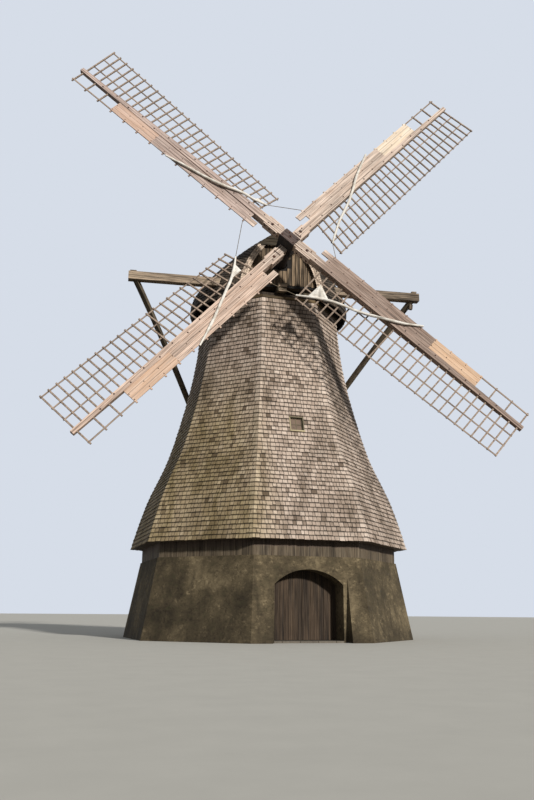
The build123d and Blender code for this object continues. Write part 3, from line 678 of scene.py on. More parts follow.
def roof_outline(station, inset, foot, count=28):
    """The outline of a section through the roof, read off its solid, inside a border."""
    surface = surface_of("roof_left", "roof_right")
    middle = Vector((0, station, OUTLINE_CENTRE))
    points = []
    for number in range(count + 1):
        angle = math.pi * number / count
        way = Vector((math.cos(angle), 0, math.sin(angle)))
        place = meet(surface, CAP_TURN @ (middle + way * 6), CAP_TURN.to_3x3() @ -way)
        place = CAP_TURN.inverted() @ place - middle
        place = place.normalized() * (place.length - inset)
        points.append((place.x, max(place.z + OUTLINE_CENTRE, foot)))
    return points


def lengths_along(points):
    """How far each point lies along the line through all of them."""
    walked = [0]
    for first, second in zip(points, points[1:]):
        walked.append(walked[-1] + (second - first).length)
    return walked


def last_before(walked, reach):
    """Which point is the last one that is no further along than a length."""
    return max(index for index, length in enumerate(walked) if length <= reach)


# Mesh making


def fresh():
    """An empty mesh whose parts carry a tone, an edge mark that places painted shade, and grain coordinates.
    """
    work = bmesh.new()
    work.verts.layers.float_vector.new("grain")
    work.verts.layers.float.new("tone")
    work.verts.layers.float.new("edge")
    return work


def absorb(work, small, place=None):
    """Move a finished part into the piece."""
    if place is not None:
        bmesh.ops.transform(small, matrix=place, verts=small.verts)
    carrier = bpy.data.meshes.new("carrier")
    small.to_mesh(carrier)
    small.free()
    work.from_mesh(carrier)
    bpy.data.meshes.remove(carrier)


def soften(small, edges, width, segments=1):
    """Bevel some edges of a part."""
    bmesh.ops.bevel(
        small,
        geom=edges,
        offset=width,
        offset_type="OFFSET",
        segments=segments,
        profile=0.5,
        affect="EDGES",
        material=-1,
    )


def trim(small, place, way):
    """Cut off what lies past a plane."""
    bmesh.ops.bisect_plane(
        small,
        geom=small.verts[:] + small.edges[:] + small.faces[:],
        plane_co=place,
        plane_no=way,
        clear_outer=True,
    )


def put_in_order(small):
    """Sort the faces by where they are, because a spin makes them in no fixed order."""
    way = Vector((1, 7, 50))
    small.faces.sort(key=lambda face: face.calc_center_median().dot(way))


def mark(small, tone, along, seed):
    """Give a part its tone and grain coordinates, its own length along X, Y or Z first."""
    grain = small.verts.layers.float_vector["grain"]
    shade = small.verts.layers.float["tone"]
    order = {0: (0, 1, 2), 1: (1, 0, 2), 2: (2, 0, 1)}[along]
    shift = Vector((seed.uniform(0, 40), seed.uniform(0, 40), seed.uniform(0, 40)))
    for vertex in small.verts:
        vertex[grain] = Vector([vertex.co[axis] for axis in order]) + shift
        vertex[shade] = tone


def chance_tone(seed, middle, spread):
    """A shingle's tone, from 0 to 1, mostly near the middle."""
    return min(1, max(0, seed.gauss(middle, spread)))


def add_block(work, low, high, place, seed, tone=0.5, along=0, edge=0.004):
    """A timber between two corners, with softened edges."""
    small = fresh()
    size = [b - a for a, b in zip(low, high)]
    middle = [(a + b) / 2 for a, b in zip(low, high)]
    bmesh.ops.create_cube(small, size=1, matrix=Matrix.Translation(middle) @ Matrix.Diagonal((*size, 1)))
    soften(small, small.edges[:], edge)
    mark(small, tone, along, seed)
    absorb(work, small, place)


def add_boards(work, outline, cuts, place, thickness, seed, gap=0.006, tones=(0.2, 0.8)):
    """Upright boards cut from a flat outline at places across it."""
    for low, high in zip(cuts, cuts[1:]):
        small = fresh()
        small.faces.new([small.verts.new((across, up, 0)) for across, up in outline])
        trim(small, (low + gap / 2, 0, 0), (-1, 0, 0))
        trim(small, (high - gap / 2, 0, 0), (1, 0, 0))
        if not small.faces:
            small.free()
            continue
        made = bmesh.ops.extrude_face_region(small, geom=small.faces[:])["geom"]
        depth = thickness + seed.uniform(-0.004, 0.004)
        moved = [part for part in made if isinstance(part, bmesh.types.BMVert)]
        bmesh.ops.translate(small, verts=moved, vec=(0, 0, depth))
        bmesh.ops.recalc_face_normals(small, faces=small.faces)
        front = [e for e in small.edges if all(v.co.z > depth / 2 for v in e.verts)]
        soften(small, front, 0.003)
        mark(small, seed.uniform(*tones), 1, seed)
        absorb(work, small, place)


def board_cuts(low, high, width, seed, spread=0.25):
    """Places of the joints between boards of about one width."""
    count = max(1, round((high - low) / width))
    widths = [seed.uniform(1 - spread, 1 + spread) for _ in range(count)]
    cuts = [low]
    for part in widths:
        cuts.append(cuts[-1] + part * (high - low) / sum(widths))
    return cuts


def add_bolt(work, place, seed, radius=0.02, height=0.016):
    """A washer and a six-sided bolt head standing on a face."""
    small = fresh()
    for sides, size, low, tall in ((12, radius * 1.5, 0, 0.004), (6, radius, 0.004, height)):
        middle = Matrix.Translation((0, 0, low + tall / 2))
        bmesh.ops.create_cone(
            small,
            cap_ends=True,
            segments=sides,
            radius1=size,
            radius2=size * 0.94,
            depth=tall,
            matrix=middle @ Matrix.Rotation(seed.uniform(0, 1), 4, "Z"),
        )
    absorb(work, small, place)


def add_shingle(row, corner, tone):
    """A wedge whose corners come from a rule of side, height and depth."""
    shade = row.verts.layers.float["tone"]
    edge = row.verts.layers.float["edge"]
    grain = row.verts.layers.float_vector["grain"]
    for vertex in bmesh.ops.create_cube(row, size=2)["verts"]:
        right, up, out = vertex.co.x > 0, vertex.co.y > 0, vertex.co.z > 0
        vertex[grain] = vertex.co
        vertex.co = corner(right, up, out)
        vertex[shade] = tone
        # The upper end is marked, where the finish paints shade under the next course.
        vertex[edge] = 1.0 if up else 0.0


def settle(name, work, material, body, stands_for=(), smooth=False):
    """Make the finished mesh an object that rides on its body."""
    mesh = bpy.data.meshes.new(name)
    work.to_mesh(mesh)
    work.free()
    mesh.materials.append(material)
    if smooth:
        for polygon in mesh.polygons:
            polygon.use_smooth = True
    piece = bpy.data.objects.new(name, mesh)
    bpy.context.scene.collection.objects.link(piece)
    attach(piece, body)
    if stands_for:
        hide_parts(*stands_for)
    return piece


def dress(material, *names):
    """Give solids a finish."""
    for name in names:
        for slot in frame["nodes"][name].material_slots:
            slot.material = material


# Masonry and doors


class MILL_OT_masonry(bpy.types.Operator):
    """Plaster the base walls and pave the floor"""

    bl_idname = "mill.masonry"
    bl_label = "Masonry base"

    def execute(self, context):
        settings = context.scene.mill_masonry
        door_walls = ("door_wall_left", "door_wall_right", "door_wall_over")
        dress(plaster_finish(settings), "base_walls_side", "base_walls_diagonal", *door_walls)
        dress(paving_finish(settings), "ground_floor")
        return {"FINISHED"}


class MILL_OT_doors(bpy.types.Operator):
    """Board the doors, with two ledges and a brace behind"""

    bl_idname = "mill.doors"
    bl_label = "Doors"

    def execute(self, context):
        settings = context.scene.mill_masonry
        wood = timber_finish("door_wood", settings.door, settings.door_dark, weather=0.7)
        for name, side in (("left", -1), ("right", 1)):
            self.leaf(name, side, settings.door_board, wood)
        return {"FINISHED"}

    def leaf(self, name, side, width, wood):
        """One leaf, in the space of its solid."""
        seed = random.Random(31 + side)
        low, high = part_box(f"door_leaf_{name}")
        ledge_front = high.y - 0.025
        work = fresh()
        cuts = board_cuts(low.x, high.x, width, seed, 0.12)
        outline = [(low.x, low.z), (high.x, low.z), (high.x, high.z), (low.x, high.z)]
        place = Matrix.Translation((0, ledge_front, 0)) @ Matrix.Rotation(QUARTER, 4, "X")
        add_boards(work, outline, cuts, place, 0.036, seed, 0.005)
        for level in (low.z + 0.42, high.z - 0.42):
            foot = (low.x + 0.06, ledge_front, level - 0.07)
            head = (high.x - 0.06, high.y, level + 0.07)
            add_block(work, foot, head, Matrix(), seed, seed.uniform(0.3, 0.7))
        near, far = (low.x, high.x) if side > 0 else (high.x, low.x)
        start = Vector((near + side * 0.19, 0, high.z - 0.49))
        end = Vector((far - side * 0.19, 0, low.z + 0.49))
        run = end - start
        turn = Matrix.Rotation(-math.atan2(run.z, run.x), 4, "Y")
        place = Matrix.Translation((start.x, ledge_front, start.z)) @ turn
        add_block(work, (0.03, 0, -0.05), (run.length - 0.03, high.y - ledge_front, 0.05), place, seed)
        settle(f"door_boards_{name}", work, wood, f"door_{name}", [f"door_leaf_{name}"])


# Smock


class MILL_OT_smock_shingles(bpy.types.Operator):
    """Shingle the eight faces of the smock, course by course"""

    bl_idname = "mill.smock_shingles"
    bl_label = "Smock shingles"

    def execute(self, context):
        settings = context.scene.mill_smock
        tones = (settings.pale, settings.middle, settings.dark, settings.stain)
        shingles = shingle_finish("smock_shingles", *tones, 0.8, settings.algae)
        courses = self.courses(settings.course)
        front, back = fresh(), fresh()
        for face in range(8):
            seed = random.Random(100 + face)
            turn = Matrix.Rotation(FACE_TURN * face, 4, "Z")
            for low, high in courses:
                row = self.row(low, high, settings, seed, face % 4 == 0)
                absorb(back if face in (3, 4, 5) else front, row, turn)
        settle("smock_shingles_front", front, shingles, "tower")
        settle("smock_shingles_back", back, shingles, "tower")
        shaded = toned(settings.dark, 0.4)
        inside = timber_finish("smock_boarding", settings.dark, shaded, upright_coordinates)
        dress(inside, "smock_wall_front", "smock_wall_back", "smock_walls_side", "smock_walls_diagonal")
        return {"FINISHED"}

    def courses(self, height):
        """Low and high points of each course up the middle of a face."""
        wall = surface_of("smock_wall_front")
        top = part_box("smock_wall_front")[1].z - 0.002
        level = SMOCK_FOOT
        points = [wall_point(wall, level)]
        while level < top:
            guess = wall_point(wall, min(level + height, top))
            rise = (guess - points[-1]).normalized().z * height
            level = min(level + rise, top)
            if top - level < height * 0.35:
                level = top
            points.append(wall_point(wall, level))
        return list(zip(points, points[1:]))

    def row(self, low, high, settings, seed, window_face):
        """One course of one face, facing -Y."""
        row = fresh()
        up = Vector((0, high.y - low.y, high.z - low.z))
        tall = up.length
        up.normalize()
        out = Vector((0, -up.z, up.y))
        middle = (low.z + high.z) / 2
        spans = [(-1, 1)]
        reach = -low.y * math.tan(HALF_FACE)
        if window_face and WINDOW_COURSES[0] < middle < WINDOW_COURSES[1]:
            spans = [(-1, -WINDOW_GAP / reach), (WINDOW_GAP / reach, 1)]
        for first, last in spans:
            cuts = board_cuts(first * reach, last * reach, settings.width, seed, 0.42)
            for start, end in zip(cuts, cuts[1:]):
                mitred = {False: abs(start + reach) < 0.001, True: abs(end - reach) < 0.001}
                tone = seed.gauss(0.5, 0.15) - (0.32 if seed.random() < 0.07 else 0)
                if any(mitred.values()):
                    tone += 0.25
                drop = seed.uniform(0, 0.02)
                stand = settings.butt * seed.uniform(0.75, 1.15)
                gap = seed.uniform(0.006, 0.012)

                def corner(right, upper, outer):
                    height = tall + 0.004 if upper else -drop
                    depth = (0.006 if upper else stand) if outer else -0.002
                    point = Vector((0, low.y, low.z)) + up * height + out * depth
                    point.x = end - gap / 2 if right else start + gap / 2
                    if mitred[right]:
                        limit = -point.y * math.tan(HALF_FACE)
                        point.x = limit if right else -limit
                    return point

                add_shingle(row, corner, min(1, max(0, tone)))
        return row


class MILL_OT_smock_fittings(bpy.types.Operator):
    """Sill, curb boards, window casings and floors of the smock"""

    bl_idname = "mill.smock_fittings"
    bl_label = "Sill, curb and windows"

    def execute(self, context):
        settings = context.scene.mill_smock
        old = context.scene.mill_cap
        seed = random.Random(7)
        beams = timber_finish("sill_timber", old.brace, old.frame_dark, upright_coordinates, 0.7)
        dress(beams, "sill_beams", "upper_floor")
        # Painted shade: the curb ring's timber is darkened to stand for the shade under the cap, above the
        # pale fascia boards.
        shade_under_cap = toned(old.frame_dark, 0.3)
        dress(timber_finish("curb_timber", old.frame_dark, shade_under_cap, upright_coordinates, 0.7), "curb_ring")
        boards = timber_finish("curb_boards", settings.boards, toned(settings.boards, 0.4), weather=0.8)
        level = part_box("curb_ring")[0].z
        apothem = CURB_RADIUS * math.cos(HALF_FACE)
        half = apothem * math.tan(HALF_FACE)
        work = fresh()
        for face in range(8):
            joint = seed.uniform(-0.4, 0.4) * half
            turn = Matrix.Rotation(FACE_TURN * face, 4, "Z")
            for start, end in ((-half, joint), (joint, half)):
                near = (start + 0.003, -apothem - 0.03, level - 0.05)
                far = (end - 0.003, -apothem + 0.002, level + 0.055)
                add_block(work, near, far, turn, seed, seed.uniform(0.3, 0.8))
        settle("curb_fascia", work, boards, "tower")
        self.windows(settings, seed)
        return {"FINISHED"}

    def windows(self, settings, seed):
        """Casings round both windows, and the bars across their panes."""
        shaded = toned(settings.window, 0.35)
        wood = timber_finish("window_wood", settings.window, shaded, weather=0.3)
        # The inner frames take the window wood darkened to about a third, as painted shade in the recess.
        inner = timber_finish("window_frame_wood", shaded, toned(shaded, 0.4), upright_coordinates)
        dress(inner, "window_frames")
        dress(glass_finish(settings), "window_panes")
        wall = surface_of("smock_wall_front")
        foot = wall_point(wall, WINDOW_FOOT)
        head = wall_point(wall, WINDOW_HEAD)
        lean = math.atan2(head.y - foot.y, head.z - foot.z)
        middle = Vector((0, (foot.y + head.y) / 2, WINDOW_MIDDLE))
        turn = Matrix.Translation(middle) @ Matrix.Rotation(QUARTER - lean, 4, "X")
        # The casing tones are painted light and shade: the head and the right jamb are darkened as painted
        # shade, the sill and the left jamb made paler as painted light.
        casing = (
            ((-0.272, 0.245, -0.01), (0.272, 0.285, 0.042), 0.0, 0),
            ((-0.285, -0.315, -0.01), (0.285, -0.262, 0.055), 1.0, 0),
            ((-0.268, -0.262, -0.01), (-0.232, 0.245, 0.036), 0.9, 1),
            ((0.232, -0.262, -0.01), (0.268, 0.245, 0.036), 0.0, 1),
        )
        bars = (
            ((-0.012, -0.235, -0.085), (0.012, 0.235, -0.055), 0.0, 1),
            ((-0.205, -0.012, -0.085), (-0.012, 0.012, -0.055), 0.0, 0),
            ((0.012, -0.012, -0.085), (0.205, 0.012, -0.055), 0.0, 0),
        )
        work = fresh()
        for angle in (0, math.pi):
            place = Matrix.Rotation(angle, 4, "Z") @ turn
            for parts, edge in ((casing, 0.004), (bars, 0.002)):
                for low, high, tone, along in parts:
                    add_block(work, low, high, place, seed, tone, along, edge)
        settle("window_casings", work, wood, "tower")


# Cap


class MILL_OT_roof_shingles(bpy.types.Operator):
    """Shingle the two halves of the cap, its ridge and its skirt"""

    bl_idname = "mill.roof_shingles"
    bl_label = "Cap shingles"

    def execute(self, context):
        settings = context.scene.mill_cap
        stain = toned(settings.dark, 0.5)
        shingles = shingle_finish("roof_shingles", settings.pale, settings.middle, settings.dark, stain, 0.5)
        backing = timber_finish("roof_boarding", settings.dark, stain, cap_coordinates)
        dress(backing, "roof_left", "roof_right", "cap_skirt")
        surface = surface_of("roof_left", "roof_right")
        angles = self.row_angles(surface, settings.course)
        for name, side in (("right", 1), ("left", -1)):
            seed = random.Random(50 + side)
            work = fresh()
            for low, high in zip(angles, angles[1:]):
                self.fill_row(work, surface, side, low, high, settings, seed)
            settle(f"roof_shingles_{name}", work, shingles, "cap")
        self.ridge(surface, shingles)
        self.skirt(settings, shingles)
        return {"FINISHED"}

    def point(self, surface, side, station, angle):
        """A point of the roof at a station and an angle up from its eave."""
        way = Vector((side * math.cos(angle), 0, math.sin(angle)))
        middle = Vector((0, station, ROOF_CENTRE))
        start = CAP_TURN @ (middle + way * 6)
        place = surface.ray_cast(start, CAP_TURN.to_3x3() @ -way, 5)[0]
        if place is None or (CAP_TURN.inverted() @ place).x * side < 0:
            reach = math.sqrt(CAP_RADIUS**2 - station**2)
            place = surface.find_nearest(CAP_TURN @ (middle + way * reach))[0]
        return place

    def row_angles(self, surface, course):
        """Angles that part the roof's middle section into equal courses."""
        angles = [math.radians(part * 0.5) for part in range(0, 180)]
        walked = lengths_along([self.point(surface, 1, 0.1, angle) for angle in angles])
        count = round(walked[-1] / course)
        steps = [walked[-1] * number / count for number in range(count)]
        return [angles[last_before(walked, step)] for step in steps] + [math.radians(89.2)]

    def fill_row(self, work, surface, side, low, high, settings, seed):
        """One course of one half, from the front gable to the rear."""
        row = fresh()
        cuts = board_cuts(ROOF_FRONT, ROOF_REAR, settings.width, seed, 0.35)
        for start, end in zip(cuts, cuts[1:]):
            ends = (start, end) if side > 0 else (end, start)
            feet = [self.point(surface, side, station, low) for station in ends]
            heads = [self.point(surface, side, station, high) for station in ends]
            along = (feet[1] - feet[0]).normalized()
            up = ((heads[1] + heads[0]) / 2 - (feet[1] + feet[0]) / 2).normalized()
            out = along.cross(up).normalized()
            tone = chance_tone(seed, 0.45, 0.25)
            drop = seed.uniform(0, 0.012)
            stand = settings.butt * seed.uniform(0.75, 1.2)
            gap = seed.uniform(0.001, 0.004)

            def corner(right, upper, outer):
                point = (heads if upper else feet)[1 if right else 0]
                point = point + along * (-gap if right else gap)
                point = point + up * (0.008 if upper else -drop)
                return point + out * ((0.005 if upper else stand) if outer else -0.004)

            add_shingle(row, corner, tone)
        absorb(work, row)

    def ridge(self, surface, material):
        """Overlapping saddles along the ridge."""
        seed = random.Random(53)
        work = fresh()
        station = RIDGE_ENDS[1]
        while station > RIDGE_ENDS[0]:
            stations = (station, max(station - SADDLE_PITCH, ROOF_FRONT))
            crests = [crest_point(surface, 0, place) for place in stations]
            for side in (-1, 1):
                flanks = [crest_point(surface, side * SADDLE_REACH, place) for place in stations]
                lift = seed.uniform(0.03, 0.042)

                def corner(right, upper, outer):
                    point = (flanks if right == (side > 0) else crests)[1 if upper else 0]
                    point = point + Vector((0, 0, lift if outer else 0.006))
                    return point + Vector((0, 0, 0.012 if outer and upper else 0))

                add_shingle(work, corner, chance_tone(seed, 0.4, 0.2))
            station -= SADDLE_PITCH
        bmesh.ops.recalc_face_normals(work, faces=work.faces)
        settle("ridge_saddles", work, material, "cap")

    def skirt(self, settings, material):
        """Two courses of shingles on the skirt."""
        seed = random.Random(54)
        surface = surface_of("cap_skirt")
        work = fresh()
        gap = 0.003
        for low, high in zip(SKIRT_LEVELS, SKIRT_LEVELS[1:]):
            for number in range(SKIRT_COUNT):
                angles = [2 * math.pi * (number + part) / SKIRT_COUNT for part in (0, 1)]
                stations = [CAP_RADIUS * math.sin(angle) for angle in angles]
                if min(stations) < SKIRT_ENDS[0] or max(stations) > SKIRT_ENDS[1]:
                    continue
                ways = [Vector((math.cos(angle), math.sin(angle), 0)) for angle in angles]
                turned = [CAP_TURN.to_3x3() @ way for way in ways]
                feet = [meet(surface, Vector((0, 0, low)) + way * 5, -way) for way in turned]
                heads = [meet(surface, Vector((0, 0, high)) + way * 5, -way) for way in turned]
                stand = settings.butt * seed.uniform(0.6, 1.0)

                def corner(right, upper, outer):
                    index = 1 if right else 0
                    point = heads[index] if upper else feet[index]
                    point = point + (turned[1] - turned[0]).normalized() * (-gap if right else gap)
                    return point + turned[index] * ((0.004 if upper else stand) if outer else -0.003)

                add_shingle(work, corner, chance_tone(seed, 0.3, 0.2))
        bmesh.ops.recalc_face_normals(work, faces=work.faces)
        settle("skirt_shingles", work, material, "cap")


class MILL_OT_gables(bpy.types.Operator):
    """Upright boards on both gables, the scalloped verge and the panel under the ridge"""

    bl_idname = "mill.gables"
    bl_label = "Gables and verge"

    def execute(self, context):
        settings = context.scene.mill_cap
        stain = settings.gable_dark
        # The deepened stain is partly painted shade on the gable boards.
        wood = timber_finish("gable_wood", settings.gable, toned(stain, 0.6), weather=1.0, checks=0.8)
        shaded = toned(stain, 0.35)
        backing = timber_finish("gable_backing", shaded, toned(shaded, 0.5), upright_coordinates)
        dress(backing, "front_gable", "rear_gable")
        seed = random.Random(61)
        turn = Matrix.Rotation(QUARTER, 4, "X")
        self.front(wood, seed, turn)
        work = fresh()
        flat = self.straightened(roof_outline(2.66, 0.115, REAR_FOOT), REAR_FOOT)
        cuts = board_cuts(-GABLE_HALF, GABLE_HALF, GABLE_BOARD, seed, 0.3)
        place = CAP_TURN @ Matrix.Rotation(math.pi, 4, "Z") @ Matrix.Translation((0, -2.7, 0)) @ turn
        add_boards(work, flat, cuts, place, 0.02, seed, 0.01, (0.1, 0.9))
        settle("rear_gable_boards", work, wood, "cap")
        self.verge(settings)
        self.panel(settings)
        return {"FINISHED"}

    def front(self, wood, seed, turn):
        """Boards of the front gable, with a round hole for the shaft."""
        flat = self.straightened(roof_outline(-2.6, 0.125, GABLE_FOOT), GABLE_FOOT)
        cuts = board_cuts(-GABLE_HALF, GABLE_HALF, GABLE_BOARD, seed, 0.3)
        place = CAP_TURN @ Matrix.Translation((0, -GABLE_FRONT, 0)) @ turn
        shaft_level = HUB.z - (-HUB.y - SHAFT_CROSSING) * math.tan(SHAFT_TILT)
        work = fresh()
        for low, high in zip(cuts, cuts[1:]):
            foot = GABLE_FOOT - seed.uniform(0, 0.05)
            across = min(abs(low), abs(high)) if low * high > 0 else 0
            parts = [(foot, ABOVE_ROOF)]
            if across < 0.3:
                reach = math.sqrt(SHAFT_HOLE**2 - across**2)
                parts = [(foot, shaft_level - reach), (shaft_level + reach, ABOVE_ROOF)]
            for bottom, top in parts:
                shape = self.between_levels(flat, bottom, top)
                add_boards(work, shape, [low, high], place, 0.022, seed, 0.022, (0.05, 0.95))
        settle("front_gable_boards", work, wood, "cap")

    def straightened(self, outline, foot):
        """The outline with a straight foot."""
        above = [point for point in outline if point[1] > foot + 0.001]
        return [(above[0][0], foot)] + above + [(above[-1][0], foot)]

    def between_levels(self, outline, bottom, top):
        """The part of an outline between two levels."""
        small = bmesh.new()
        small.faces.new([small.verts.new((across, up, 0)) for across, up in outline])
        trim(small, (0, bottom, 0), (0, -1, 0))
        trim(small, (0, top, 0), (0, 1, 0))
        points = [(vertex.co.x, vertex.co.y) for face in small.faces for vertex in face.verts]
        if bottom < min(point[1] for point in outline) and points:
            lowest = min(point[1] for point in points)
            points = [(x, bottom) if up < lowest + 0.001 else (x, up) for x, up in points]
        small.free()
        return points

    def verge(self, settings):
        """Rows of small rounded shingles along the front edge of the roof."""
        pale = settings.verge
        backing = timber_finish("verge_backing", toned(pale, 0.55), settings.dark, cross_coordinates)
        dress(backing, "front_verge")
        bleached = [min(1, part * 1.4) for part in pale]
        tones = (bleached, pale, toned(pale, 0.45), toned(pale, 0.4))
        finish = shingle_finish("verge_shingles", *tones, 0.4)
        outline = [Vector(point) for point in roof_outline(VERGE_STATION, 0.0, VERGE_FOOT, 96)]
        walked = lengths_along(outline)
        seed = random.Random(62)
        work = fresh()
        for row, (outer, inner) in enumerate(VERGE_ROWS):
            for number in range(int(walked[-1] / VERGE_PITCH)):
                reach = VERGE_PITCH * (number + 0.5 + (0.5 if row % 2 else 0))
                if reach >= walked[-1]:
                    continue
                index = min(last_before(walked, reach), len(outline) - 2)
                share = (reach - walked[index]) / (walked[index + 1] - walked[index])
                spot = outline[index].lerp(outline[index + 1], share)
                if spot.y > PANEL_FOOT + 0.05:
                    continue
                along = (outline[index + 1] - outline[index]).normalized()
                inward = Vector((-along.y, along.x))
                middle = spot + inward * (outer + inner) / 2
                axes = Matrix((
                    (along.x, inward.x, 0, middle.x),
                    (0, 0, -1, -VERGE_FRONT - 0.007 * row),
                    (along.y, inward.y, 0, middle.y),
                    (0, 0, 0, 1),
                ))
                self.scallop(work, inner - outer, chance_tone(seed, 0.6, 0.3), CAP_TURN @ axes)
        bmesh.ops.recalc_face_normals(work, faces=work.faces)
        settle("verge_scallops", work, finish, "cap")

    def scallop(self, work, tall, tone, place):
        """One shingle with a rounded tip."""
        small = fresh()
        bmesh.ops.create_cube(small, size=1)
        bmesh.ops.scale(small, vec=(VERGE_PITCH * 0.84, tall, 0.014), verts=small.verts)
        tips = [
            e
            for e in small.edges
            if all(v.co.y > 0 for v in e.verts) and abs(e.verts[0].co.z - e.verts[1].co.z) > 0.001
        ]
        soften(small, tips, VERGE_PITCH * 0.3, 2)
        shade = small.verts.layers.float["tone"]
        edge = small.verts.layers.float["edge"]
        for vertex in small.verts:
            vertex[shade] = tone
            # The covered half is marked, where the finish paints shade under the next row.
            vertex[edge] = 1.0 if vertex.co.y < 0 else 0.0
            if vertex.co.y > 0:
                vertex.co.z += 0.012
        absorb(work, small, place)

    def panel(self, settings):
        """Level boards that close the top of the gable in front of the verge."""
        seed = random.Random(63)
        wood = timber_finish("panel_wood", settings.panel, settings.gable_dark, weather=0.8)
        outline = roof_outline(VERGE_STATION, 0.0, VERGE_FOOT, 96)
        shape = self.between_levels(outline, PANEL_FOOT, ABOVE_ROOF)
        cuts = board_cuts(PANEL_FOOT, max(up for across, up in shape), 0.15, seed)
        level = Matrix(((0, -1, 0, 0), (0, 0, -1, -PANEL_FRONT), (1, 0, 0, 0), (0, 0, 0, 1)))
        work = fresh()
        lying = [(up, -across) for across, up in shape]
        add_boards(work, lying, cuts, CAP_TURN @ level, 0.018, seed, 0.014)
        settle("ridge_panel", work, wood, "cap")


class MILL_OT_cap_frame(bpy.types.Operator):
    """Timbers of the cap's frame and tail, with the fittings on their ends"""

    bl_idname = "mill.cap_frame"
    bl_label = "Cap frame and tail"

    def execute(self, context):
        settings = context.scene.mill_cap
        pale, dark = settings.frame, settings.frame_dark
        brace, brace_dark = settings.brace, toned(settings.brace, 0.4)
        sheers = timber_finish("sheer_timber", brace, brace_dark, cap_coordinates, 0.7)
        dress(sheers, "cap_sheers", "cap_ring")
        # The cross timbers' dark grain is deepened and fully weathered, partly as painted shade standing for
        # their shaded lower edges, spread at random.
        beams = timber_finish("cross_timber", pale, toned(dark, 0.5), cross_coordinates, 1.0, 1.0)
        dress(beams, "cap_cross_beams", "long_spruit", "short_spruit")
        way = (POLE_FOOT - POLE_HEAD).to_track_quat("X", "Z").to_matrix().to_4x4()
        pole = CAP_TURN @ Matrix.Translation(POLE_HEAD) @ way
        dress(timber_finish("tail_timber", brace, brace_dark, grain_of(pole), 0.7), "tail_pole")
        braces = timber_finish("brace_timber", brace, brace_dark, brace_coordinates, 0.7, 0.8)
        dress(braces, "long_braces", "short_braces")
        timber = timber_finish("fitting_timber", pale, dark, weather=0.6)
        seed = random.Random(71)
        work = fresh()
        place = CAP_TURN @ Matrix.Translation((0, -2.01, 13.42))
        lean = place @ Matrix.Rotation(0.12, 4, "Y")
        add_block(work, (-5.72, -0.12, 0), (-5.48, 0.12, 0.055), place, seed, 0.15)
        add_block(work, (5.42, -0.06, 0), (5.55, 0.07, 0.2), lean, seed, 0.1, 2)
        add_block(work, (5.5, -0.09, 0.05), (5.7, 0.09, 0.1), place, seed, 0.1)
        place = CAP_TURN @ Matrix.Translation((0.02, -2.9, 12.73))
        add_block(work, (-0.17, -0.035, 0.2), (0.17, 0.12, 0.31), place, seed, 1.0)
        add_block(work, (-0.155, -0.02, 0.02), (0.155, 0.0, 0.14), place, seed, 0.6)
        settle("frame_fittings", work, timber, "cap")
        return {"FINISHED"}


# Sails


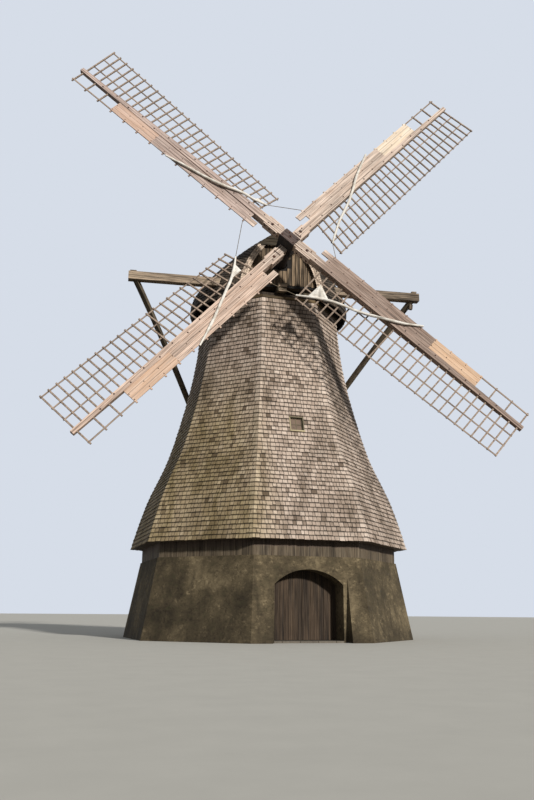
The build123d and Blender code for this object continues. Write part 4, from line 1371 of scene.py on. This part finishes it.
class MILL_OT_stocks(bpy.types.Operator):
    """Windshaft, head, stocks and clamps, with bolts and bands"""

    bl_idname = "mill.stocks"
    bl_label = "Stocks and hub"

    def execute(self, context):
        settings = context.scene.mill_sails
        pale, dark = settings.timber, settings.timber_dark
        for name, arm in (("rear_stock", 0), ("front_stock", 1)):
            grain = grain_of(arm_place(arm))
            stock = timber_finish(f"{name}_timber", pale, dark, grain, 0.45, 0.7, (0.02,), ARM_TINTS)
            dress(stock, name)
        along = grain_of(rotor_place() @ Matrix.Rotation(QUARTER, 4, "Y"))
        worn = settings.hub
        shaft = timber_finish("shaft_timber", worn, toned(worn, 0.4), along, 0.8)
        dress(shaft, "windshaft", "shaft_head")
        across = grain_of(rotor_place(ARM_ANGLE + QUARTER))
        # Painted light: the nose block is the hub colour made 4.6 times paler, standing for its sunlit front
        # face.
        dress(timber_finish("nose_timber", toned(worn, 4.6), worn, across), "nose_block")
        clamps = timber_finish("clamp_timber", pale, dark, sail_coordinates, tints=ARM_TINTS)
        dress(clamps, "stock_clamps")
        self.ironwork(settings)
        return {"FINISHED"}

    def ironwork(self, settings):
        """Bolts in the clamps, the nose and the stocks, and a band on each root of the rear stock."""
        iron = iron_finish(settings)
        seed = random.Random(81)
        bolts, bands = fresh(), fresh()

        def bolt(place, spot, radius, height):
            add_bolt(bolts, place @ Matrix.Translation(spot), seed, radius, height)

        for arm in range(4):
            place = arm_place(arm)
            for side in (-1, 1):
                outward = Matrix.Rotation(math.radians(-90 * side), 4, "X")
                for distance in (0.56, 0.8, 1.03):
                    spot = Matrix.Translation((distance, side * (STOCK_HALF + 0.06), 0.05 * side))
                    add_bolt(bolts, place @ (spot @ outward), seed, 0.026, 0.022)
            bolt(place, (0.82, 0.03, STOCK_HALF), 0.042, 0.024)
            for distance, across in ((0.66, -0.1), (0.97, 0.1), (1.3, -0.06)):
                bolt(place, (distance, across, STOCK_HALF - 0.001), 0.02, 0.016)
            if arm % 2 == 0:
                low = Vector((0.585, -STOCK_HALF, STOCK_HALF))
                add_block(bands, low, low + Vector((0.045, 2 * STOCK_HALF, 0.01)), place, seed)
            for number in range(12):
                distance = BAR_FIRST + BAR_PITCH * (2 * number + 1)
                front = STOCK_HALF - 0.05 * (distance - CLAMP_END) / (SAIL_TIP - CLAMP_END)
                across = 0.04 if number % 2 else -0.04
                bolt(place, (distance, across, front - 0.001), 0.022, 0.018)
        nose = rotor_place(ARM_ANGLE)
        for across, along in ((-0.12, -0.26), (0.12, -0.26), (-0.12, 0.26), (0.13, 0.12)):
            bolt(nose, (across, along, NOSE_FRONT), 0.026, 0.022)
        self.washer(bolts, nose)
        settle("sail_bolts", bolts, iron, "sails")
        settle("stock_bands", bands, iron, "sails")
        dress(iron, "door_straps_left", "door_straps_right", "door_pintles")

    def washer(self, work, place):
        """A worn iron ring round the hole in the nose."""
        small = fresh()
        section = ((0.034, 0), (0.07, 0), (0.066, 0.009), (0.038, 0.009))
        profile = [small.verts.new((reach, 0, up)) for reach, up in section]
        bmesh.ops.spin(
            small,
            geom=[small.edges.new(pair) for pair in zip(profile, profile[1:] + profile[:1])] + profile,
            cent=(0, 0, 0),
            axis=(0, 0, 1),
            angle=2 * math.pi,
            steps=20,
            use_merge=True,
        )
        bmesh.ops.recalc_face_normals(small, faces=small.faces)
        put_in_order(small)
        absorb(work, small, place @ Matrix.Translation((0, 0, NOSE_FRONT)))


class MILL_OT_lattices(bpy.types.Operator):
    """Bars, laths, tip frames and windboards, with bolts through the boards"""

    bl_idname = "mill.lattices"
    bl_label = "Lattices and windboards"

    def execute(self, context):
        settings = context.scene.mill_sails
        bars = timber_finish("bar_wood", settings.bars, settings.bars_dark, sail_coordinates, 0.4, 0.4)
        dress(bars, "tip_frames", *[f"lattice_{name}" for name in ARMS])
        old = (settings.timber, settings.timber_dark, sail_coordinates, 0.45, 0.6)
        dress(timber_finish("windboard_wood", *old, (0.27, 0.385, 0.5), ARM_TINTS), "windboards")
        new = (settings.fresh, settings.fresh_dark, sail_coordinates, 0.25, 0.2)
        dress(timber_finish("new_windboard_wood", *new, (0.27, 0.45), NEW_TINTS), "windboards_new")
        seed = random.Random(91)
        work = fresh()
        for arm in range(4):
            for number in range(0, BAR_COUNT, 2):
                distance = BAR_FIRST + BAR_PITCH * number
                if distance > BOARD_END:
                    continue
                for across in (0.3, 0.56):
                    spot = Matrix.Translation((distance, across, BOARD_FRONT))
                    add_bolt(work, arm_place(arm) @ spot, seed, 0.014, 0.01)
        settle("windboard_bolts", work, bpy.data.materials["old_iron"], "sails")
        return {"FINISHED"}


def lattice_front(distance, across):
    """Front of the lattice at a place on the trailing side, where its bars are twisted."""
    share = (distance - BAR_FIRST) / (BAR_PITCH * (BAR_COUNT - 1))
    angle = math.radians(ROOT_ANGLE + (TIP_ANGLE - ROOT_ANGLE) * share)
    return BAR_PLANE - across * math.tan(angle) + BAR_HALF / math.cos(angle)


def cloth_level(distance, across):
    """Height of the middle of a furled cloth where it lies on the boards, the stock or the lattice."""
    if across > ROLL_ON_STOCK:
        front = BOARD_FRONT
    elif across < -ROLL_ON_STOCK:
        front = lattice_front(distance, -across)
    else:
        front = STOCK_HALF
    return front + ROLL_HEIGHT


def smooth_line(points, smoothness):
    """Points along one smooth line that runs near some points."""
    data = bpy.data.curves.new("route", "CURVE")
    data.dimensions = "3D"
    data.resolution_u = smoothness
    spline = data.splines.new("NURBS")
    spline.points.add(len(points) - 1)
    for spot, point in zip(spline.points, points):
        spot.co = (*point, 1)
    spline.order_u = 3
    spline.use_endpoint_u = True
    holder = bpy.data.objects.new("route", data)
    mesh = bpy.data.meshes.new_from_object(holder)
    line = [vertex.co.copy() for vertex in mesh.vertices]
    bpy.data.meshes.remove(mesh)
    bpy.data.curves.remove(data)
    return line


def even_line(line, count):
    """The same line with evenly spaced points, and its length."""
    walked = lengths_along(line)
    points = []
    index = 0
    for number in range(count + 1):
        reach = walked[-1] * number / count
        while index < len(walked) - 2 and walked[index + 1] < reach:
            index += 1
        share = (reach - walked[index]) / max(1e-9, walked[index + 1] - walked[index])
        points.append(line[index].lerp(line[index + 1], min(1, share)))
    return points, walked[-1]


def line_axes(points, number):
    """Two axes square to a line at one of its points."""
    before = points[max(0, number - 1)]
    after = points[min(len(points) - 1, number + 1)]
    way = (after - before).normalized()
    side = way.cross(Vector((0, 0, 1))).normalized()
    return side, side.cross(way).normalized()


class MILL_OT_sailcloth(bpy.types.Operator):
    """Furled cloths, the loose corners that hang from three of them, and the ropes"""

    bl_idname = "mill.sailcloth"
    bl_label = "Sailcloth and ropes"

    def execute(self, context):
        settings = context.scene.mill_sails
        canvas = cloth_finish(settings)
        routes = []
        for arm, name in enumerate(ARMS):
            path = ROLL_PATHS[arm]
            route = [Vector((along, across, cloth_level(along, across))) for along, across in path]
            self.roll(name, arm, route, settings.cloth_turns, canvas)
            if arm in CORNER_PATHS:
                self.corner(name, arm, canvas)
            routes.append(route)
        self.ropes(routes, rope_finish(settings))
        return {"FINISHED"}

    def roll(self, name, arm, route, turns, canvas):
        """A cloth rolled up across its width, thinner where it is tied."""
        seed = random.Random(200 + arm)
        points, length = even_line(smooth_line(route, 12), ROLL_STEPS)
        around = TURN_STEPS * turns
        waves = [(seed.uniform(3, 9), seed.uniform(0, 6), seed.uniform(0.03, 0.08)) for _ in range(4)]
        work = fresh()
        grain = work.verts.layers.float_vector["grain"]
        bmesh.ops.create_grid(work, x_segments=ROLL_STEPS, y_segments=around, size=0.5)
        inner, outer = 0.008, 0.05
        for vertex in work.verts:
            step = round((vertex.co.x + 0.5) * ROLL_STEPS)
            along = step / ROLL_STEPS
            share = round((vertex.co.y + 0.5) * around) / around
            angle = share * turns * 2 * math.pi + along * 5
            swell = 0.68 + 0.42 * min(1, 6 * min(along, 1 - along))
            for count, start, size in waves:
                swell += size * 0.8 * math.sin(along * count * 6 + start + angle * 0.5)
            for tie in (0.12, 0.36, 0.6, 0.84):
                swell -= 0.2 * math.exp(-(((along - tie) / 0.018) ** 2))
            radius = (inner + (outer - inner) * share) * swell
            side, rise = line_axes(points, step)
            vertex.co = points[step] + side * math.cos(angle) * radius + rise * math.sin(angle) * radius
            vertex[grain] = Vector((along * length, share * 1.1, 0))
        bmesh.ops.recalc_face_normals(work, faces=work.faces)
        bmesh.ops.transform(work, matrix=arm_place(arm), verts=work.verts)
        piece = settle(f"sail_cloth_{name}", work, canvas, "sails", ["sail_rolls"], True)

    def corner(self, name, arm, canvas):
        """A loose corner of a cloth, caught on the lattice."""
        start, end, tip = [
            Vector((along, across, cloth_level(along, across) + 0.01)) for along, across in CORNER_PATHS[arm]
        ]
        tip.z -= 0.02
        hem = (end - start).length
        tall = (tip - start).cross(end - start).length / hem
        work = fresh()
        grain = work.verts.layers.float_vector["grain"]
        bmesh.ops.create_grid(work, x_segments=24, y_segments=18, size=0.5)
        for vertex in work.verts:
            across, up = vertex.co.x + 0.5, vertex.co.y + 0.5
            share = 0.985 * up
            point = start.lerp(end, across).lerp(tip, share)
            folds = math.sin(across * 11) + 0.6 * math.sin(across * 23 + up * 3)
            bulge = 0.05 * math.sin(math.pi * up) * math.sin(math.pi * across)
            point.z += 0.022 * folds * (1 - share) + bulge
            vertex.co = point
            vertex[grain] = Vector((across * hem * (1 - share), up * tall, 0))
        bmesh.ops.transform(work, matrix=arm_place(arm), verts=work.verts)
        piece = settle(f"sail_corner_{name}", work, canvas, "sails", ["sail_rolls"], True)

    def ropes(self, routes, hemp):
        """Three strands laid up from the end of each cloth to the first stub of the next sail."""
        work = fresh()
        for arm, route in enumerate(routes):
            near, far = arm_place(arm), arm_place(arm - 1)
            roll_end = near @ route[-1]
            roll_way = (roll_end - near @ route[-2]).normalized()
            stub_end = far @ Vector((BAR_FIRST, STUB_END, BAR_PLANE))
            stub_way = far.to_3x3() @ Vector((0, 1, 0))
            rope_way = (stub_end - roll_end).normalized()
            start = roll_end + roll_way * ROPE_RADIUS * rope_way.cross(roll_way).length
            end = stub_end + stub_way * ROPE_RADIUS * rope_way.cross(stub_way).length
            self.lay(work, start, end)
        settle("sail_rope_strands", work, hemp, "sails", ["sail_ropes"], True)

    def lay(self, work, start, end):
        """A three-strand rope between two points."""
        run = end - start
        axes = run.to_track_quat("Z", "X").to_matrix().to_4x4()
        axes.translation = start
        steps = max(4, round(run.length / ROPE_STEP))
        for strand in range(3):
            small = fresh()
            made = bmesh.ops.create_circle(small, cap_ends=False, segments=6, radius=STRAND_RADIUS)
            turn = Matrix.Rotation(math.radians(120 * strand), 4, "Z")
            offset = turn @ Matrix.Translation((STRAND_OFFSET, 0, 0))
            bmesh.ops.transform(small, matrix=offset, verts=made["verts"])
            bmesh.ops.spin(
                small,
                geom=small.verts[:] + small.edges[:],
                cent=(0, 0, 0),
                axis=(0, 0, 1),
                dvec=(0, 0, run.length / steps),
                angle=run.length / ROPE_LAY * 2 * math.pi,
                steps=steps,
            )
            bmesh.ops.holes_fill(small, edges=[e for e in small.edges if e.is_boundary], sides=0)
            bmesh.ops.recalc_face_normals(small, faces=small.faces)
            put_in_order(small)
            absorb(work, small, axes)


# Stage


def seen_directly(tree):
    """1 for what the camera sees, also by reflection or through glass, and 0 for light thrown back."""
    rays = tree.nodes.new("ShaderNodeLightPath")
    total = rays.outputs["Is Camera Ray"]
    for name in ("Is Glossy Ray", "Is Transmission Ray"):
        add = tree.nodes.new("ShaderNodeMath")
        add.use_clamp = True
        tree.links.new(total, add.inputs[0])
        tree.links.new(rays.outputs[name], add.inputs[1])
        total = add.outputs[0]
    return total


class MILL_OT_stage(bpy.types.Operator):
    """Camera, soft light, pale floor and backdrop"""

    bl_idname = "mill.stage"
    bl_label = "Stage"

    def execute(self, context):
        settings = context.scene.mill_stage
        self.camera(context.scene, settings)
        self.light(context.scene, settings)
        self.backdrop(context.scene, settings)
        self.floor(context.scene, settings)
        context.scene.view_settings.view_transform = "Standard"
        return {"FINISHED"}

    def camera(self, scene, settings):
        """The camera, by where it stands and how it is turned."""
        level = Vector((math.sin(settings.heading), math.cos(settings.heading), 0))
        forward = level * math.cos(settings.pitch) + Vector((0, 0, math.sin(settings.pitch)))
        right = forward.cross(Vector((0, 0, 1))).normalized()
        right = right * math.cos(settings.roll) + right.cross(forward) * math.sin(settings.roll)
        axes = Matrix((right, right.cross(forward), -forward)).transposed().to_4x4()
        axes.translation = settings.eye
        data = bpy.data.cameras.new("view")
        data.lens = settings.lens
        data.sensor_width = 36
        data.clip_end = 500
        camera = bpy.data.objects.new("view", data)
        scene.collection.objects.link(camera)
        camera.matrix_world = axes
        scene.camera = camera

    def light(self, scene, settings):
        """The main light, low and from the left."""
        data = bpy.data.lights.new("main_light", "SUN")
        data.energy = settings.sun
        data.angle = math.radians(4)
        data.color = (1, 0.97, 0.92)
        lamp = bpy.data.objects.new("main_light", data)
        scene.collection.objects.link(lamp)
        turn = settings.heading - math.radians(33)
        rise = math.radians(22)
        away = Vector((math.sin(turn) * math.cos(rise), math.cos(turn) * math.cos(rise), -math.sin(rise)))
        lamp.rotation_euler = away.to_track_quat("-Z", "Y").to_euler()

    def backdrop(self, scene, settings):
        """Light from all round, and the pale colour that is seen behind the mill."""
        world = bpy.data.worlds.new("backdrop")
        scene.world = world
        world.use_nodes = True
        tree = world.node_tree
        fill = tree.nodes["Background"]
        fill.inputs["Color"].default_value = (0.93, 0.96, 1, 1)
        fill.inputs["Strength"].default_value = settings.fill
        shown = tree.nodes.new("ShaderNodeBackground")
        shown.inputs["Color"].default_value = (*settings.sky, 1)
        mix = tree.nodes.new("ShaderNodeMixShader")
        tree.links.new(seen_directly(tree), mix.inputs[0])
        tree.links.new(fill.outputs[0], mix.inputs[1])
        tree.links.new(shown.outputs[0], mix.inputs[2])
        tree.links.new(mix.outputs[0], tree.nodes["World Output"].inputs[0])

    def floor(self, scene, settings):
        """A wide pale floor that throws little light back."""
        work = bmesh.new()
        bmesh.ops.create_circle(work, cap_ends=True, segments=96, radius=240)
        mesh = bpy.data.meshes.new("floor")
        work.to_mesh(mesh)
        work.free()
        ground = bpy.data.objects.new("floor", mesh)
        scene.collection.objects.link(ground)
        finish = Finish("pale_floor", 0.95, 0.1)
        grit = finish.noise(finish.place, 1.5, 6)
        shown = finish.ramp(grit, (0.3, toned(settings.ground, 0.94)), (0.7, settings.ground))
        colour = finish.mix(seen_directly(finish.tree), settings.ground_dim, shown)
        mesh.materials.append(finish.finish(colour))


class MILL_PT_panel(bpy.types.Panel):
    """Lists the pieces of the mill"""

    bl_idname = "MILL_PT_panel"
    bl_label = "Smock windmill"
    bl_space_type = "VIEW_3D"
    bl_region_type = "UI"
    bl_category = "Windmill"

    def draw(self, context):
        for operator in OPERATORS:
            self.layout.operator(operator.bl_idname)


GROUPS = {
    "mill_masonry": MillMasonry,
    "mill_smock": MillSmock,
    "mill_cap": MillCap,
    "mill_sails": MillSails,
    "mill_stage": MillStage,
}
OPERATORS = (
    MILL_OT_masonry,
    MILL_OT_doors,
    MILL_OT_smock_shingles,
    MILL_OT_smock_fittings,
    MILL_OT_roof_shingles,
    MILL_OT_gables,
    MILL_OT_cap_frame,
    MILL_OT_stocks,
    MILL_OT_lattices,
    MILL_OT_sailcloth,
    MILL_OT_stage,
)


def register():
    """Add the mill's settings, operators and panel."""
    for name, group in GROUPS.items():
        bpy.utils.register_class(group)
        setattr(bpy.types.Scene, name, bpy.props.PointerProperty(type=group))
    for operator in OPERATORS:
        bpy.utils.register_class(operator)
    bpy.utils.register_class(MILL_PT_panel)


def unregister():
    """Take them away again."""
    bpy.utils.unregister_class(MILL_PT_panel)
    for operator in reversed(OPERATORS):
        bpy.utils.unregister_class(operator)
    for name, group in GROUPS.items():
        delattr(bpy.types.Scene, name)
        bpy.utils.unregister_class(group)


def main():
    """Build every piece in order."""
    register()
    bpy.ops.mill.masonry()
    bpy.ops.mill.doors()
    bpy.ops.mill.smock_shingles()
    bpy.ops.mill.smock_fittings()
    bpy.ops.mill.roof_shingles()
    bpy.ops.mill.gables()
    bpy.ops.mill.cap_frame()
    bpy.ops.mill.stocks()
    bpy.ops.mill.lattices()
    bpy.ops.mill.sailcloth()
    bpy.ops.mill.stage()


if __name__ == "__main__":
    main()
